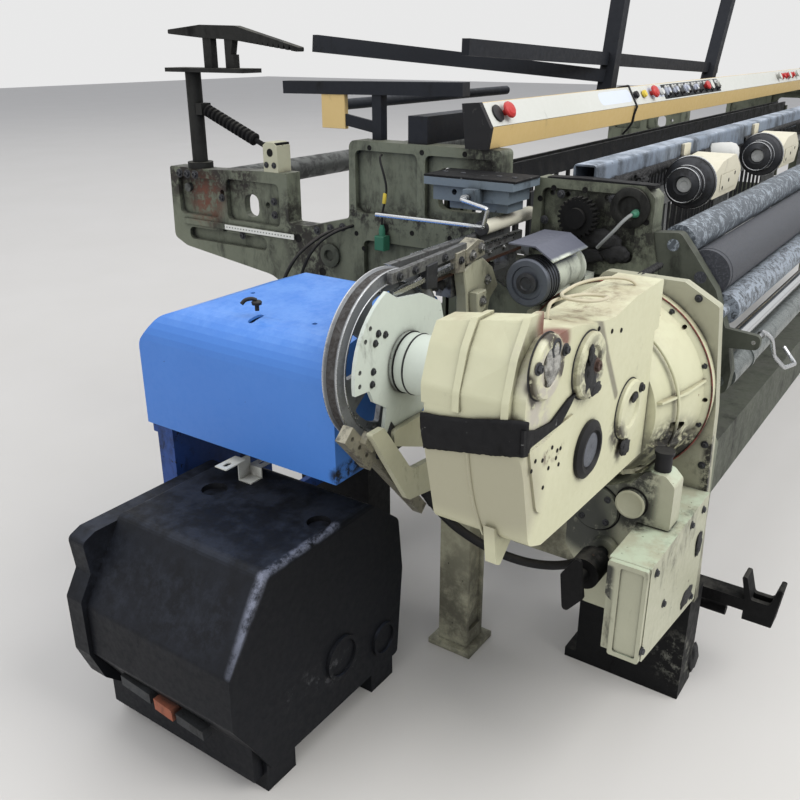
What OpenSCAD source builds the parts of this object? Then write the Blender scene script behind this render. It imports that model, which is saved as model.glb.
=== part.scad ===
// Wide rapier weaving loom. X runs along the width, -Y is the cloth side, +Y the warp side.
// The origin lies on the floor under the middle of the overall box.

/* [Layout] */
// Distance between the outer faces of the two side frames
frame_span = 3800; // [3000:50:4200]
// Thickness of a side frame casting
frame_t = 60; // [44:2:80]
// Distance from a side frame's outer face to the outer face of its end plate
end_reach = 170; // [130:5:210]
// Thickness of an end plate
plate_t = 28; // [16:2:36]
// Height of the black foot blocks
foot_h = 290; // [220:10:320]
// Height of the top of the side frames' middle part
frame_top = 1255; // [1235:5:1290]
// Height of the shoulder that carries the front cross beam
shoulder_h = 1200; // [1185:5:1215]

/* [Rapier drive] */
// Outer radius of a rapier wheel
wheel_r = 184; // [160:2:200]
// Width of the rapier wheel's rim
wheel_w = 34; // [24:2:44]
// Distance from the side frame's outer face to the wheel's axis
wheel_reach = 585; // [560:5:620]
// Height of the wheel's axis
wheel_h = 904; // [880:2:930]
// Radius of the wheel's shaft
shaft_r = 25; // [15:1:35]
// Length of the drive housing, from the end plate
housing_l = 750; // [690:5:780]
// Depth of the drive housing, front to back
housing_d = 174; // [150:2:200]
// Height of the joint between the drive housing and its cover
joint_h = 990; // [970:5:1010]
// Radius of the round bell that joins the drive housing to the end plate
bell_r = 222; // [200:2:224]

/* [Rollers] */
// Radius of the cloth spreader roller
spreader_r = 39; // [30:1:44]
// Radius of the take-up roller
takeup_r = 56; // [45:1:62]
// Radius of the press roller
press_r = 35; // [25:1:40]
// Radius of the chrome tube
chrome_r = 17; // [10:1:22]
// Radius of the rollers' journals
journal_r = 14; // [8:1:16]
// Running clearance of shafts in their bores
fit = 0.06; // [0.02:0.01:0.1]

/* [Control panel] */
// Width of the panel's sloping face
face_w = 66; // [60:1:80]
// Thickness of the panel's face sheet
face_t = 3; // [1:0.5:4]
// Radius of a push button
button_r = 13; // [8:1:16]
// Travel of a push button
button_travel = 4; // [2:0.5:6]
// Distance between neighbouring buttons
button_pitch = 82; // [76:2:90]

/* [Sley and shafts] */
// Number of gaps in the reed
reed_gaps = 110; // [40:1:120]
// Height of the reed above the race
reed_h = 110; // [90:5:130]
// Height of a heald frame
heald_h = 520; // [440:10:540]
// Lift of a heald frame
heald_lift = 40; // [20:5:45]

/* [Covers] */
// Wall of the blue side cover
cover_t = 6; // [3:1:10]
// Height of the black housing on the floor
box_h = 530; // [490:5:540]

/* [Hidden] */

$fn = 48;
// Half of the span and the faces that everything at an end is placed from
fx = frame_span / 2;
fin = fx - frame_t;
plate_x = fx + end_reach;
nose_x = plate_x + housing_l;
wheel_x = fx + wheel_reach;
// The black floor housing reaches further out than the drive housing's nose
box_near_x = fx + 1050;
rib_out = 6;
origin_x = (box_near_x - nose_x - rib_out) / 2;
// Front and back ends of the loom
front_y = -1014;
back_y = 1014;

function unit(v) = v / norm(v);
// Points of a rounded corner at p between its neighbours a and b
function corner(p, a, b, r, n) =
  abs(unit(a - p) * unit(b - p)) > 0.9999 ? [p] : let (
    u = unit(a - p),
    w = unit(b - p),
    half = acos(max(-1, min(1, u * w))) / 2,
    c = p + unit(u + w) * (r / sin(half)),
    s = p + u * (r / tan(half)),
    e = p + w * (r / tan(half)),
    a0 = atan2(s[1] - c[1], s[0] - c[0]),
    turn = ((atan2(e[1] - c[1], e[0] - c[0]) - a0 + 540) % 360) - 180
  )
  [for (k = [0:n]) c + r * [cos(a0 + turn * k / n), sin(a0 + turn * k / n)]];
// Outline with rounded corners: r is one radius, or a list with one for each point
function rounded(pts, r, n = 4) =
  [for (i = [0:len(pts) - 1])
    let (m = len(pts), q = is_list(r) ? r[i] : r)
    each (q <= 0 ? [pts[i]] : corner(pts[i], pts[(i + m - 1) % m], pts[(i + 1) % m], q, n))];
function box_outline(a0, a1, b0, b1) = [[a0, b0], [a1, b0], [a1, b1], [a0, b1]];
function arc(cx, cy, r, a0, a1, n) =
  [for (k = [0:n]) [cx + r * cos(a0 + (a1 - a0) * k / n), cy + r * sin(a0 + (a1 - a0) * k / n)]];

module at_origin() translate([origin_x, 0, 0]) children();
module other_end() mirror([1, 0, 0]) children();
module block(x0, x1, y0, y1, z0, z1) translate([x0, y0, z0]) cube([x1 - x0, y1 - y0, z1 - z0]);
// Outline in Y and Z, drawn along X
module along_x(pts, x0, x1)
  translate([x0, 0, 0]) rotate([90, 0, 90]) linear_extrude(x1 - x0) polygon(pts);
// Outline in X and Z, drawn along Y
module along_y(pts, y0, y1)
  translate([0, y1, 0]) rotate([90, 0, 0]) linear_extrude(y1 - y0) polygon(pts);
module rod_x(x0, x1, y, z, r) translate([x0, y, z]) rotate([0, 90, 0]) cylinder(h = x1 - x0, r = r);
module rod_y(x, y0, y1, z, r) translate([x, y1, z]) rotate([90, 0, 0]) cylinder(h = y1 - y0, r = r);
module rod_z(x, y, z0, z1, r) translate([x, y, z0]) cylinder(h = z1 - z0, r = r);
// Spur gear about X with trapezoid teeth
module gear_x(x0, x1, y, z, r, teeth, depth) {
  step = 360 / teeth;
  outline = [for (i = [0:teeth - 1], p = [[-0.36, 0], [-0.16, 1], [0.16, 1], [0.36, 0]])
    let (a = (i + p[0]) * step, q = r - depth + p[1] * depth)
    [y + q * cos(a), z + q * sin(a)]];
  along_x(outline, x0, x1);
}

// Round tube swept along a route, with a ring of sides at each point
function tangent(r, i) = unit(i == 0 ? r[1] - r[0] : i == len(r) - 1 ? r[i] - r[i - 1] : r[i + 1] - r[i - 1]);
function ring(c, t, r, n) =
  let (u = unit(cross(t, abs(t[2]) < 0.9 ? [0, 0, 1] : [1, 0, 0])), w = cross(t, u))
  [for (k = [0:n - 1]) c + r * (cos(360 * k / n) * u + sin(360 * k / n) * w)];
// Route with its corners cut by short curves that start at a distance d from each corner
function bent(route, d) = [for (i = [0:len(route) - 1]) each (i == 0 || i == len(route) - 1 ? [route[i]] :
  let (p = route[i], a = p + unit(route[i - 1] - p) * d, b = p + unit(route[i + 1] - p) * d)
  [for (t = [0:0.25:1]) (1 - t) * (1 - t) * a + 2 * t * (1 - t) * p + t * t * b])];
module sweep(route, r, n = 8) {
  m = len(route);
  polyhedron(
    points = [for (i = [0:m - 1]) each ring(route[i], tangent(route, i), r, n)],
    faces = concat([[for (k = [0:n - 1]) k]], [[for (k = [n - 1:-1:0]) (m - 1) * n + k]],
      [for (i = [0:m - 2], k = [0:n - 1]) each [
        [i * n + k, (i + 1) * n + (k + 1) % n, i * n + (k + 1) % n],
        [i * n + k, (i + 1) * n + k, (i + 1) * n + (k + 1) % n]]]),
    convexity = 6);
}
// Places that several pieces share
spreader = [-650, 1075];
takeup = spreader + (spreader_r + takeup_r + 0.4) * [-cos(43), -sin(43)];
press = takeup + (takeup_r + press_r + 0.4) * [-cos(56), -sin(56)];
chrome = [-775, 831];
guide = [-790, 775];
gear_axis = [-742, 800];
gear_r = 76;
race_y = -250;
race_h = wheel_h + 126;
rock_h = 520;
sley_t = 50;
wheel_y1 = race_y - 1;
wheel_y0 = wheel_y1 - wheel_w;
housing_y0 = -750;
housing_y1 = housing_y0 + housing_d;
bell_y = -608;
bell_h = joint_h - 185;
casing_bottom = joint_h - 245;
beam_y0 = -430;
beam_y1 = -370;
leg_front_y = -800;
leg_back_y = 480;

module frame_outline_parts() {
  along_x(rounded([
    [leg_front_y, foot_h], [leg_front_y, 600], [-690, 790], [-640, 930], [-600, 1105],
    [-600, shoulder_h - 25], [-575, shoulder_h], [-300, shoulder_h], [-292, 990], [-206, 990],
    [-206, frame_top], [270, frame_top], [275, 1040], [430, 1000], [505, 1000], [505, 1146],
    [600, 1146], [830, 1134], [back_y - 6, 1134], [back_y, 905], [960, 880], [560, 830], [470, 700],
    [leg_back_y, foot_h], [200, foot_h], [180, 440], [70, 570], [-330, 570], [-490, 440],
    [-530, foot_h]],
    [0, 20, 40, 60, 10, 8, 8, 8, 8, 8, 12, 20, 15, 30, 6, 0, 0, 8, 8, 20, 60, 90, 60, 0, 0, 60, 90, 90, 60, 0]),
    -fx, -fin);
}
// Recesses on both faces of the casting leave a web between ribs
frame_pockets = [
  box_outline(-186, 20, 1060, frame_top - 25),
  box_outline(45, 250, 1060, frame_top - 25),
  [[-560, 1020], [-320, 1020], [-320, shoulder_h - 22], [-560, shoulder_h - 22]],
  [[-770, foot_h + 30], [-560, foot_h + 30], [-525, 460], [-380, 600], [-620, 600], [-770, 540]],
  [[-640, 640], [-330, 640], [-330, 985], [-590, 985]],
  [[-180, 640], [225, 640], [225, 985], [-180, 985]],
  [[240, foot_h + 30], [440, foot_h + 30], [430, 640], [250, 640], [130, 560], [215, 460]],
  box_outline(540, 760, 985, 1112),
  box_outline(800, 975, 985, 1105)];
frame_windows = [
  [[-150, 1090], [-10, 1090], [-10, 1200], [-150, 1200]],
  [[-130, 700], [170, 700], [170, 930], [-130, 930]],
  [[-590, 700], [-400, 700], [-400, 900], [-560, 900]],
  [[640, 1000], [700, 1000], [700, 1070], [640, 1070]]];
module side_frame() {
  difference() {
    frame_outline_parts();
    for (p = frame_pockets) {
      along_x(rounded(p, 16), -fx - 1, -fx + frame_t * 0.3);
      along_x(rounded(p, 16), -fin - frame_t * 0.3, -fin + 1);
    }
    for (p = frame_windows) along_x(rounded(p, 24), -fx - 1, -fin + 1);
    // Long slot of the rear extension, below the scale rail
    along_x(rounded(box_outline(600, 940, 905, 945), 16), -fx - 1, -fx + frame_t * 0.3);
    // Bearing of the sley's rocker shaft and of the whip roll
    rod_x(-fx - 1, -fin + 1, race_y, rock_h + 115, 36);
    rod_x(-fx - 1, -fin + 1, whip[0], whip[1], journal_r + fit);
    // Bore of the front gear's stub
    rod_x(-fx - 1, -fin + 1, pick[0], pick[1], journal_r);
    for (y = [-540, -480, -380, -340]) rod_x(-fx - 1, -fin + 1, y, shoulder_h - 36, 7);
    for (p = [[735, 1130], [735, 1010], [560, 1105]]) rod_x(-fx - 1, -fin + 1, p[0] + 42, p[1] - 62, 9);
  }
  // Scale rail along the extension
  block(-fx - 8, -fx, 560, 960, 955, 972);
  // Guides of the heald frames on the inner face, with a ledge below
  for (y = [[-76, heald_y[0] - 5.3], [heald_y[0] + 5.3, heald_y[1] - 5.3], [heald_y[1] + 5.3, -4]])
    block(-fin - 1, -fin + 26, y[0], y[1], 760, 1160);
  block(-fin - 1, -fin + 26, -76, -4, heald_z0 - 30, heald_z0 - 0.3);
}
heald_y = [-60, -20];
heald_z0 = frame_top - 75 - heald_h;
module side_frame_left() color([0.72, 0.73, 0.62]) side_frame();
module side_frame_right() color([0.72, 0.73, 0.62]) other_end() side_frame();

module end_plate() {
  px0 = -plate_x;
  px1 = -plate_x + plate_t;
  difference() {
    along_x(rounded([[-852, foot_h], [-836, 774], [-814, 998], [-738, 1040], [-560, 1040], [-500, 942],
      [-380, 922], [-380, foot_h]], [0, 8, 8, 8, 20, 20, 8, 0]), px0, px1);
    rod_x(px0 - 1, px1 + 1, gear_axis[0], gear_axis[1], journal_r + fit);
    // Recessed inner face with a rim
    along_x(rounded([[-800, foot_h + 60], [-785, 970], [-730, 1000], [-585, 1000], [-525, 900],
      [-420, 885], [-420, foot_h + 60]], 12), px1 - plate_t * 0.4, px1 + 1);
    for (z = [350, 520, 690]) rod_x(px0 - 1, px1 + 1, -822, z, 6);
  }
  // Spacers that bolt the plate to the side frame
  for (p = [[-700, 500], [-640, 350], [-600, 960], [-450, 860]])
    rod_x(px1 - plate_t * 0.4, -fx, p[0], p[1], 22);
}
module end_plates() color([0.80, 0.79, 0.65]) {
  end_plate();
  other_end() end_plate();
}

module front_foot() {
  block(-plate_x, -plate_x + 98, -845, -575, 0, foot_h);
  block(-plate_x + 98, -fin, leg_front_y, -575, 0, foot_h);
  // Bolting flange along the back
  block(-plate_x, -fin, -575, -545, 0, 26);
}
module foot(x0, x1, y0, y1) {
  difference() {
    union() {
      block(x0, x1, y0, y1, 0, 24);
      along_y(rounded([[x0 + 10, 24], [x1 - 10, 24], [x1 - 10, foot_h], [x0 + 10, foot_h]], [0, 0, 12, 12]),
        y0 + 8, y1 - 8);
    }
    // Core opening of the casting
    along_y(rounded([[x0 + 42, 70], [x1 - 42, 70], [x1 - 42, foot_h - 60], [x0 + 42, foot_h - 60]], 20),
      y0 + 60, y1 + 1);
  }
}
module feet() color([0.06, 0.06, 0.07]) {
  front_foot();
  foot(-fx - 40, -fin + 40, 195, 485);
  other_end() {
    front_foot();
    foot(-fx - 40, -fin + 40, 195, 485);
  }
}

girder_wall = 12;
module girder(y0, y1, z0, z1) difference() {
  block(-fin - 18, fin + 18, y0, y1, z0, z1);
  block(-fin - 19, fin + 19, y0 + girder_wall, y1 - girder_wall, z0 + girder_wall, z1 - girder_wall);
  // Round core holes along the back
  for (k = [-3:3]) rod_y(k * (fin - 340) / 3, y1 - girder_wall - 1, y1 + 1, (z0 + z1) / 2, 30);
}
module cross_girders() color([0.45, 0.46, 0.40]) {
  girder(-760, -620, foot_h + 80, foot_h + 240);
  girder(leg_back_y - 230, leg_back_y - 90, foot_h + 180, foot_h + 320);
}

beam_z0 = shoulder_h - 35;
beam_z1 = shoulder_h + 30;
module front_crossbeam() color([0.80, 0.80, 0.80]) difference() {
  along_x(rounded([[beam_y0, beam_z0], [beam_y1, beam_z0], [beam_y1, beam_z1], [beam_y0, beam_z1]],
    [0, 0, 10, 10]), -fin, fin);
  along_x(box_outline(beam_y0 + 6, beam_y1 - 6, beam_z0 + 6, beam_z1 - 6), -fin - 1, fin + 1);
}

// Brackets that carry the rollers in front of the side frames
bracket_t = 34;
module roller_bracket() difference() {
  union() {
    along_x(rounded([[-600, 1000], [-600, 1098], [-664, 1104], [-700, 1060], [-758, 985], [-798, 880],
      [-816, 800], [-812, 748], [-768, 740], [-722, 800], [-680, 890], [-640, 960]],
      [0, 4, 16, 16, 16, 20, 16, 20, 16, 20, 20, 0]), -fx + 6, -fx + 6 + bracket_t);
    // Lug of the stop handle
    along_x(rounded([[-780, 856], [-780, 904], [-868, 896], [-868, 864]], [0, 0, 12, 12]), -fx + 6, -fx + 22);
  }
  frame_outline_parts();
  for (p = [spreader, takeup, press]) rod_x(-fx - 1, -fin + 1, p[0], p[1], journal_r + fit);
  rod_x(-fx - 1, -fin + 1, guide[0], guide[1], journal_r);
  rod_x(-fx - 1, -fin + 1, chrome[0], chrome[1], journal_r - 4);
  rod_x(-fx - 1, -fin + 1, handle_pin[0], handle_pin[1], wire_r + fit);
}
module roller_brackets() color([0.72, 0.72, 0.62]) {
  roller_bracket();
  other_end() roller_bracket();
}

// A roller with stepped journals that turn in the brackets
module roller(p, r, j) {
  inner = fx - 6 - bracket_t - 6;
  rod_x(-inner, inner, p[0], p[1], r);
  rod_x(-fx + 6, -inner, p[0], p[1], j);
  rod_x(inner, fx - 6, p[0], p[1], j);
}
module spreader_roller() color([0.62, 0.65, 0.68]) roller(spreader, spreader_r, journal_r);
module take_up_roller() color([0.20, 0.20, 0.23]) {
  roller(takeup, takeup_r - 1, journal_r);
  // Pale end rings of the roller's cover
  for (s = [-1, 1]) translate([s * (fx - 70), takeup[0], takeup[1]]) rotate([0, 90, 0])
    cylinder(h = 12, r = takeup_r, center = true);
}
module press_roller() color([0.66, 0.68, 0.70]) roller(press, press_r, journal_r);
module chrome_tube() color([0.82, 0.83, 0.85]) roller(chrome, chrome_r, journal_r - 4);
module guide_bar() color([0.45, 0.48, 0.48]) {
  roller(guide, 30, journal_r);
  // Collar near each end
  for (s = [-1, 1]) translate([s * (fx - 210), guide[0], guide[1]]) rotate([0, 90, 0])
    cylinder(h = 14, r = 33, center = true);
}

module take_up_gear() color([0.10, 0.10, 0.11]) {
  gear_x(-plate_x + plate_t + 4, -plate_x + plate_t + 30, gear_axis[0], gear_axis[1], gear_r, 34, 9);
  rod_x(-plate_x + plate_t + 30, -plate_x + plate_t + 44, gear_axis[0], gear_axis[1], 30);
  rod_x(-plate_x + 1, -plate_x + plate_t + 4, gear_axis[0], gear_axis[1], journal_r);
}

// Bent wire handle that hangs from the bracket on a cross pin
wire_r = 5;
handle_pin = [-854, 880];
handle_x = -fx + 75;
handle_route = [[5, 0, 0], [30, 0, 0], [38, -18, -16], [52, -26, -62], [90, -46, -98], [170, -56, -110],
  [186, -40, -100], [190, -20, -78]];
module stop_handle() color([0.85, 0.85, 0.86]) {
  translate([handle_x, handle_pin[0], handle_pin[1]]) sweep(bent(handle_route, 9), wire_r, 10);
  rod_x(-fx + 7, handle_x, handle_pin[0], handle_pin[1], wire_r);
  // Collar that the wire leaves from
  rod_x(handle_x, handle_x + 14, handle_pin[0], handle_pin[1], wire_r + 4);
}

// Take-up gearbox in front of the end plate
gb_x0 = plate_x + 380;
gb_face = gb_x0 - 160;
gb_back = gb_face - 56;
gb_x1 = plate_x;
gb_h = 702;
cover_z1 = 580;
coupling = [-704, 500];
flange = [-674, 592];
module take_up_gearbox() color([0.66, 0.69, 0.58]) difference() {
  union() {
    along_x(rounded([[-764, 430], [-764, cover_z1 + 3], [-832, cover_z1 + 3], [-832, 682], [-812, gb_h],
      [-772, gb_h], [-745, 668], [-700, 650], [-640, 628], [-612, 600], [-612, 480], [-650, 430]],
      [0, 0, 4, 12, 14, 20, 10, 10, 16, 16, 20, 16]), -gb_face, -gb_back);
    along_x(rounded([[-764, 330], [-764, 576], [-640, 576], [-640, 330]], [0, 4, 10, 20]),
      -gb_back - 30, -gb_x1);
    // Round covers on the end face
    rod_x(-gb_face - 12, -gb_face + 1, -750, 626, 30);
    rod_x(-gb_face - 8, -gb_face + 1, flange[0], flange[1], 50);
    // Output boss that carries the coupling
    rod_x(-gb_face - 20, -gb_face + 1, coupling[0], coupling[1], 30);
  }
  rod_x(-gb_face - 21, -gb_face + 150, coupling[0], coupling[1], journal_r + fit);
  rod_z(filler_x, filler_y, gb_h - 40, gb_h + 1, 15);
  for (a = [45:90:315]) rod_x(-gb_face - 9, -gb_face + 12, flange[0] + 38 * cos(a), flange[1] + 38 * sin(a), 4);
}
filler_x = -(gb_face + gb_back) / 2;
filler_y = -796;
cover_z0 = foot_h + 10;
module gearbox_cover() color([0.80, 0.80, 0.68]) {
  difference() {
    along_y(rounded([[-gb_x0 + 12, cover_z0 + 62], [-gb_x1, cover_z0], [-gb_x1, cover_z1], [-gb_x0 + 12, cover_z1]],
      [10, 0, 0, 4]), -850, -766);
    block(-gb_x0 + 22, -gb_x1 - 12, -790, -765, cover_z0 + 80, cover_z1 - 10);
  }
  // Flat cover plate with a raised rim on the end
  difference() {
    along_x(rounded([[-848, cover_z0 + 64], [-848, cover_z1 - 2], [-768, cover_z1 - 2], [-768, 500], [-784, 488], [-784, cover_z0 + 64]], 5),
      -gb_x0, -gb_x0 + 12);
    along_x(rounded([[-840, cover_z0 + 74], [-840, cover_z1 - 12], [-794, cover_z1 - 12], [-794, cover_z0 + 74]], 4), -gb_x0 - 1, -gb_x0 + 4);
  }
}
module filler_cap() color([0.10, 0.10, 0.10]) translate([filler_x, filler_y, gb_h]) {
  translate([0, 0, -30]) cylinder(h = 30, r = 14.7);
  cylinder(h = 36, r = 17);
  translate([0, 0, 36]) cylinder(h = 7, r = 20);
}
module gearbox_coupling() color([0.16, 0.16, 0.16]) {
  rod_x(-gb_x0 - 6, -gb_face + 150, coupling[0], coupling[1], journal_r);
  rod_x(-gb_x0 + 40, -gb_face - 60, coupling[0], coupling[1], 34);
  // Flat four-cornered flange of the coupling
  along_x(rounded([coupling + [16, -72], coupling + [26, 20], coupling + [-12, 78], coupling + [-26, -20]], 8),
    -gb_x0 - 14, -gb_x0 - 6);
}

// Forked rests for a cloth roll, in front of the feet
module cloth_fork() {
  fork_z = 178;
  along_y(box_outline(-fx - 6, -fx + 44, fork_z + 24, fork_z + 56), -932, leg_front_y);
  difference() {
    along_x(rounded([[-932, fork_z], [front_y + 12, fork_z], [front_y, fork_z + 109],
      [front_y + 12, fork_z + 109], [front_y + 24, fork_z + 60], [-946, fork_z + 60], [-930, fork_z + 118],
      [-918, fork_z + 118], [-932, fork_z + 56]], [0, 4, 4, 4, 8, 8, 4, 4, 0]), -fx - 6, -fx + 44);
    along_x(rounded([[-945, fork_z + 70], [front_y + 20, fork_z + 70], [front_y + 24, fork_z + 12], [-945, fork_z + 12]], 4),
      -fx + 8, -fx + 30);
  }
  rod_y(-fx + 40, -885, leg_front_y, fork_z - 20, 14);
}
module cloth_forks() color([0.12, 0.12, 0.13]) {
  cloth_fork();
  other_end() cloth_fork();
}

// Drive housing: a casing drawn along Y, and a round bell towards the end plate
bell_x = plate_x + 200;
casing_profile = rounded([[-nose_x, joint_h - 38], [-nose_x + 43, casing_bottom + 24], [-nose_x + 90, casing_bottom + 4],
  [-nose_x + 210, casing_bottom - 2], [-bell_x, casing_bottom - 14], [-bell_x, joint_h], [-nose_x, joint_h]],
  [6, 26, 30, 0, 0, 0, 0]);
module bell() {
  translate([-plate_x, bell_y, bell_h]) rotate([0, -90, 0]) difference() {
    rotate_extrude($fn = 96)
      polygon([[0, 0], [bell_r, 0], [bell_r, 26], [bell_r - 14, 34], [bell_r - 30, 120], [bell_r - 60, 196], [0, 200]]);
    // Lightening pockets between the bell's ribs, on the back half
    for (a = [100, 140, 220, 260]) rotate([0, 0, a]) translate([bell_r - 40, 0, 60]) cylinder(h = 90, r = 14);
    for (a = [0:45:315]) rotate([0, 0, a]) translate([bell_r - 11, 0, -1]) cylinder(h = 40, r = 5);
  }
}
shaft_x = wheel_x;
bearing_y = -560;
module drive_housing() {
  difference() {
    union() {
      intersection() {
        along_y(casing_profile, housing_y0, housing_y1);
        // The nose is rounded in plan
        translate([0, 0, casing_bottom - 20]) linear_extrude(400) polygon(rounded([[-nose_x, housing_y0],
          [-bell_x + 1, housing_y0], [-bell_x + 1, housing_y1], [-nose_x, housing_y1]], [14, 0, 0, 10]));
      }
      bell();
      // Pointed lug below the nose
      along_y(rounded([[-nose_x + 30, casing_bottom + 45], [-nose_x + 42, casing_bottom - 28],
        [-nose_x + 56, casing_bottom - 36], [-nose_x + 110, casing_bottom + 12]], [0, 5, 5, 0]), -696, -676);
      // Shaft bearing on the back, towards the rapier wheel
      rod_y(-shaft_x, housing_y1 - 10, bearing_y + 150, wheel_h, 50);
    }
    // Bore of the wheel's shaft
    rod_y(-shaft_x, housing_y1 + 20, bearing_y + 151, wheel_h, shaft_r + fit);
    // Seat of the round plug in the front face
    rod_y(-nose_x + plug_in, housing_y0 - 1, housing_y0 + 30, plug_h, plug_r);
  }
}
plug_in = 250;
plug_h = joint_h - 132;
plug_r = 44;
// Flat plate with rounded corners on the front face of the casing
module casing_plate() along_y(rounded([[-nose_x + 18, joint_h - 40], [-nose_x + 62, casing_bottom + 62],
  [-nose_x + 150, 850], [-nose_x + 185, joint_h - 40]], [6, 26, 30, 10]), housing_y0 - 4, housing_y0);
module drive_housing_left() color([0.82, 0.81, 0.66]) {
  drive_housing();
  casing_plate();
  // Round cover with a drain lobe, beside the bell
  translate([0, 1, 0]) face_boss(-nose_x + 435, joint_h - 122, 58, 12);
  along_y(rounded([[-nose_x + 404, joint_h - 160], [-nose_x + 466, joint_h - 160], [-nose_x + 458, joint_h - 190],
    [-nose_x + 442, joint_h - 204], [-nose_x + 424, joint_h - 190]], [0, 0, 10, 8, 10]), housing_y0 - 8, housing_y0 + 1);
}
// The cover is a short ribbed barrel over the nose, with a lower shell behind and beside it
cover_top = joint_h + 128;
cover_end_x = bell_x - 20;
barrel_l = 96;
barrel_front = housing_y0 + 22;
barrel_profile = rounded([[-nose_x, joint_h], [-nose_x - 2, joint_h + 30], [-nose_x + 22, joint_h + 92],
  [-nose_x + 60, cover_top + 20], [-nose_x + barrel_l, cover_top + 20], [-nose_x + barrel_l, joint_h]],
  [0, 30, 60, 30, 3, 0], 6);
rib_profile = rounded([[-nose_x - rib_out, joint_h], [-nose_x - rib_out + 1, joint_h + 30],
  [-nose_x + 17, joint_h + 95], [-nose_x + 58, cover_top + 25], [-nose_x + barrel_l - 2, cover_top + 25],
  [-nose_x + barrel_l - 2, cover_top - 30], [-nose_x + 50, joint_h]], [0, 30, 60, 30, 3, 0, 0], 6);
shell_profile = rounded([[-nose_x + 5, joint_h], [-nose_x + 7, joint_h + 40], [-nose_x + 30, joint_h + 88],
  [-nose_x + 72, joint_h + 114], [-nose_x + 160, joint_h + 110], [-nose_x + 262, joint_h + 90],
  [-nose_x + 330, joint_h + 82], [-nose_x + 432, joint_h + 96], [-cover_end_x, joint_h + 98],
  [-cover_end_x, joint_h]], [0, 30, 50, 40, 60, 60, 60, 40, 6, 0]);
// The barrel's top rises towards the front, and the shell's top falls to the back
function barrel_section(up) = [[barrel_front - 1, joint_h], [barrel_front - 1, cover_top + 14 + up],
  [housing_y1, cover_top - 8 + up], [housing_y1, joint_h]];
shell_section = rounded([[housing_y0, joint_h], [housing_y0, joint_h + 120], [housing_y0 + 64, joint_h + 116],
  [housing_y1 - 30, joint_h + 58], [housing_y1, joint_h + 26], [housing_y1, joint_h]], [0, 10, 30, 20, 6, 0]);
// One bearing cover on the front face, with a round cap and a rim
module face_boss(x, z, r, t) {
  translate([x, housing_y0, z]) rotate([90, 0, 0]) rotate_extrude()
    polygon([[0, 0], [r, 0], [r, t - 4], [r - 4, t], [r * 0.62, t], [r * 0.55, t - 5], [0, t - 5]]);
}
module drive_cover() {
  difference() {
    union() {
      intersection() {
        along_y(barrel_profile, barrel_front, housing_y1);
        along_x(barrel_section(0), -nose_x - 9, -nose_x + barrel_l + 1);
      }
      intersection() {
        for (y = [barrel_front - 0.5, -646]) along_y(rib_profile, y, y + 12);
        along_x(barrel_section(5), -nose_x - 9, -nose_x + barrel_l + 1);
      }
      intersection() {
        along_y(shell_profile, housing_y0, housing_y1 - 1);
        along_x(shell_section, -nose_x - 1, -cover_end_x + 1);
      }
    }
    // The bell passes below the cover's inner end
    translate([-plate_x, bell_y, bell_h]) rotate([0, -90, 0]) cylinder(h = 201, r = bell_r + 0.5, $fn = 96);
    // Bore for the breather beside the barrel
    rod_z(-nose_x + 190, -690, cover_top - 70, cover_top + 1, 8);
  }
  face_boss(-nose_x + 58, joint_h + 76, 50, 12);
}
module drive_cover_left() color([0.80, 0.79, 0.66]) {
  drive_cover();
  // Its lower edge hangs in front of the joint
  difference() {
    translate([0, 4, 0]) face_boss(-nose_x + 220, joint_h + 30, 56, 16);
    block(-nose_x + 160, -nose_x + 280, housing_y0 - 0.3, housing_y0 + 5, joint_h - 40, joint_h + 0.3);
  }
}
module drive_housing_right() color([0.82, 0.81, 0.66]) other_end() {
  drive_housing();
  casing_plate();
  drive_cover();
}
module drive_plug() color([0.08, 0.08, 0.09])
  translate([-nose_x + plug_in, housing_y0 + 30, plug_h]) rotate([90, 0, 0]) rotate_extrude()
    polygon([[0, 0], [plug_r - 0.4, 0], [plug_r - 0.4, 30], [plug_r + 8, 30], [plug_r + 8, 36], [plug_r - 2, 42],
      [plug_r - 8, 42], [plug_r - 10, 37], [0, 37]]);

// Rapier wheel: channel rim, web ring with windows, hub
function sector(r0, r1, a0, a1, n) = concat(arc(0, 0, r1, a0, a1, n), arc(0, 0, r0, a1, a0, n));
module rapier_wheel() translate([-wheel_x, wheel_y1, wheel_h]) rotate([90, 0, 0]) {
  difference() {
    rotate_extrude($fn = 96) {
      polygon([[wheel_r - 26, 0], [wheel_r, 0], [wheel_r, 4], [wheel_r - 6, 7], [wheel_r - 6, wheel_w - 7],
        [wheel_r, wheel_w - 4], [wheel_r, wheel_w], [wheel_r - 26, wheel_w], [wheel_r - 30, wheel_w - 8],
        [wheel_r - 30, 8]]);
      polygon([[44, 10], [wheel_r - 30, 10], [wheel_r - 30, 22], [44, 22]]);
      polygon([[0, 4], [44, 4], [44, wheel_w - 4], [0, wheel_w - 4]]);
    }
    for (a = [20:72:380]) rotate([0, 0, a]) translate([0, 0, 8]) linear_extrude(16)
      polygon(rounded(sector(66, wheel_r - 46, -20, 20, 4), 5, 2));
    for (a = [0:24:359]) rotate([0, 0, a]) translate([wheel_r - 38, 0, 8]) cylinder(h = 16, r = 4);
  }
  // Shaft that turns in the drive housing
  translate([0, 0, 8]) cylinder(h = wheel_y1 - 8 - housing_y1 - 30, r = shaft_r);
}
module rapier_wheel_left() color([0.62, 0.62, 0.64]) rapier_wheel();
module rapier_wheel_right() color([0.62, 0.62, 0.64]) other_end() rapier_wheel();

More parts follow.
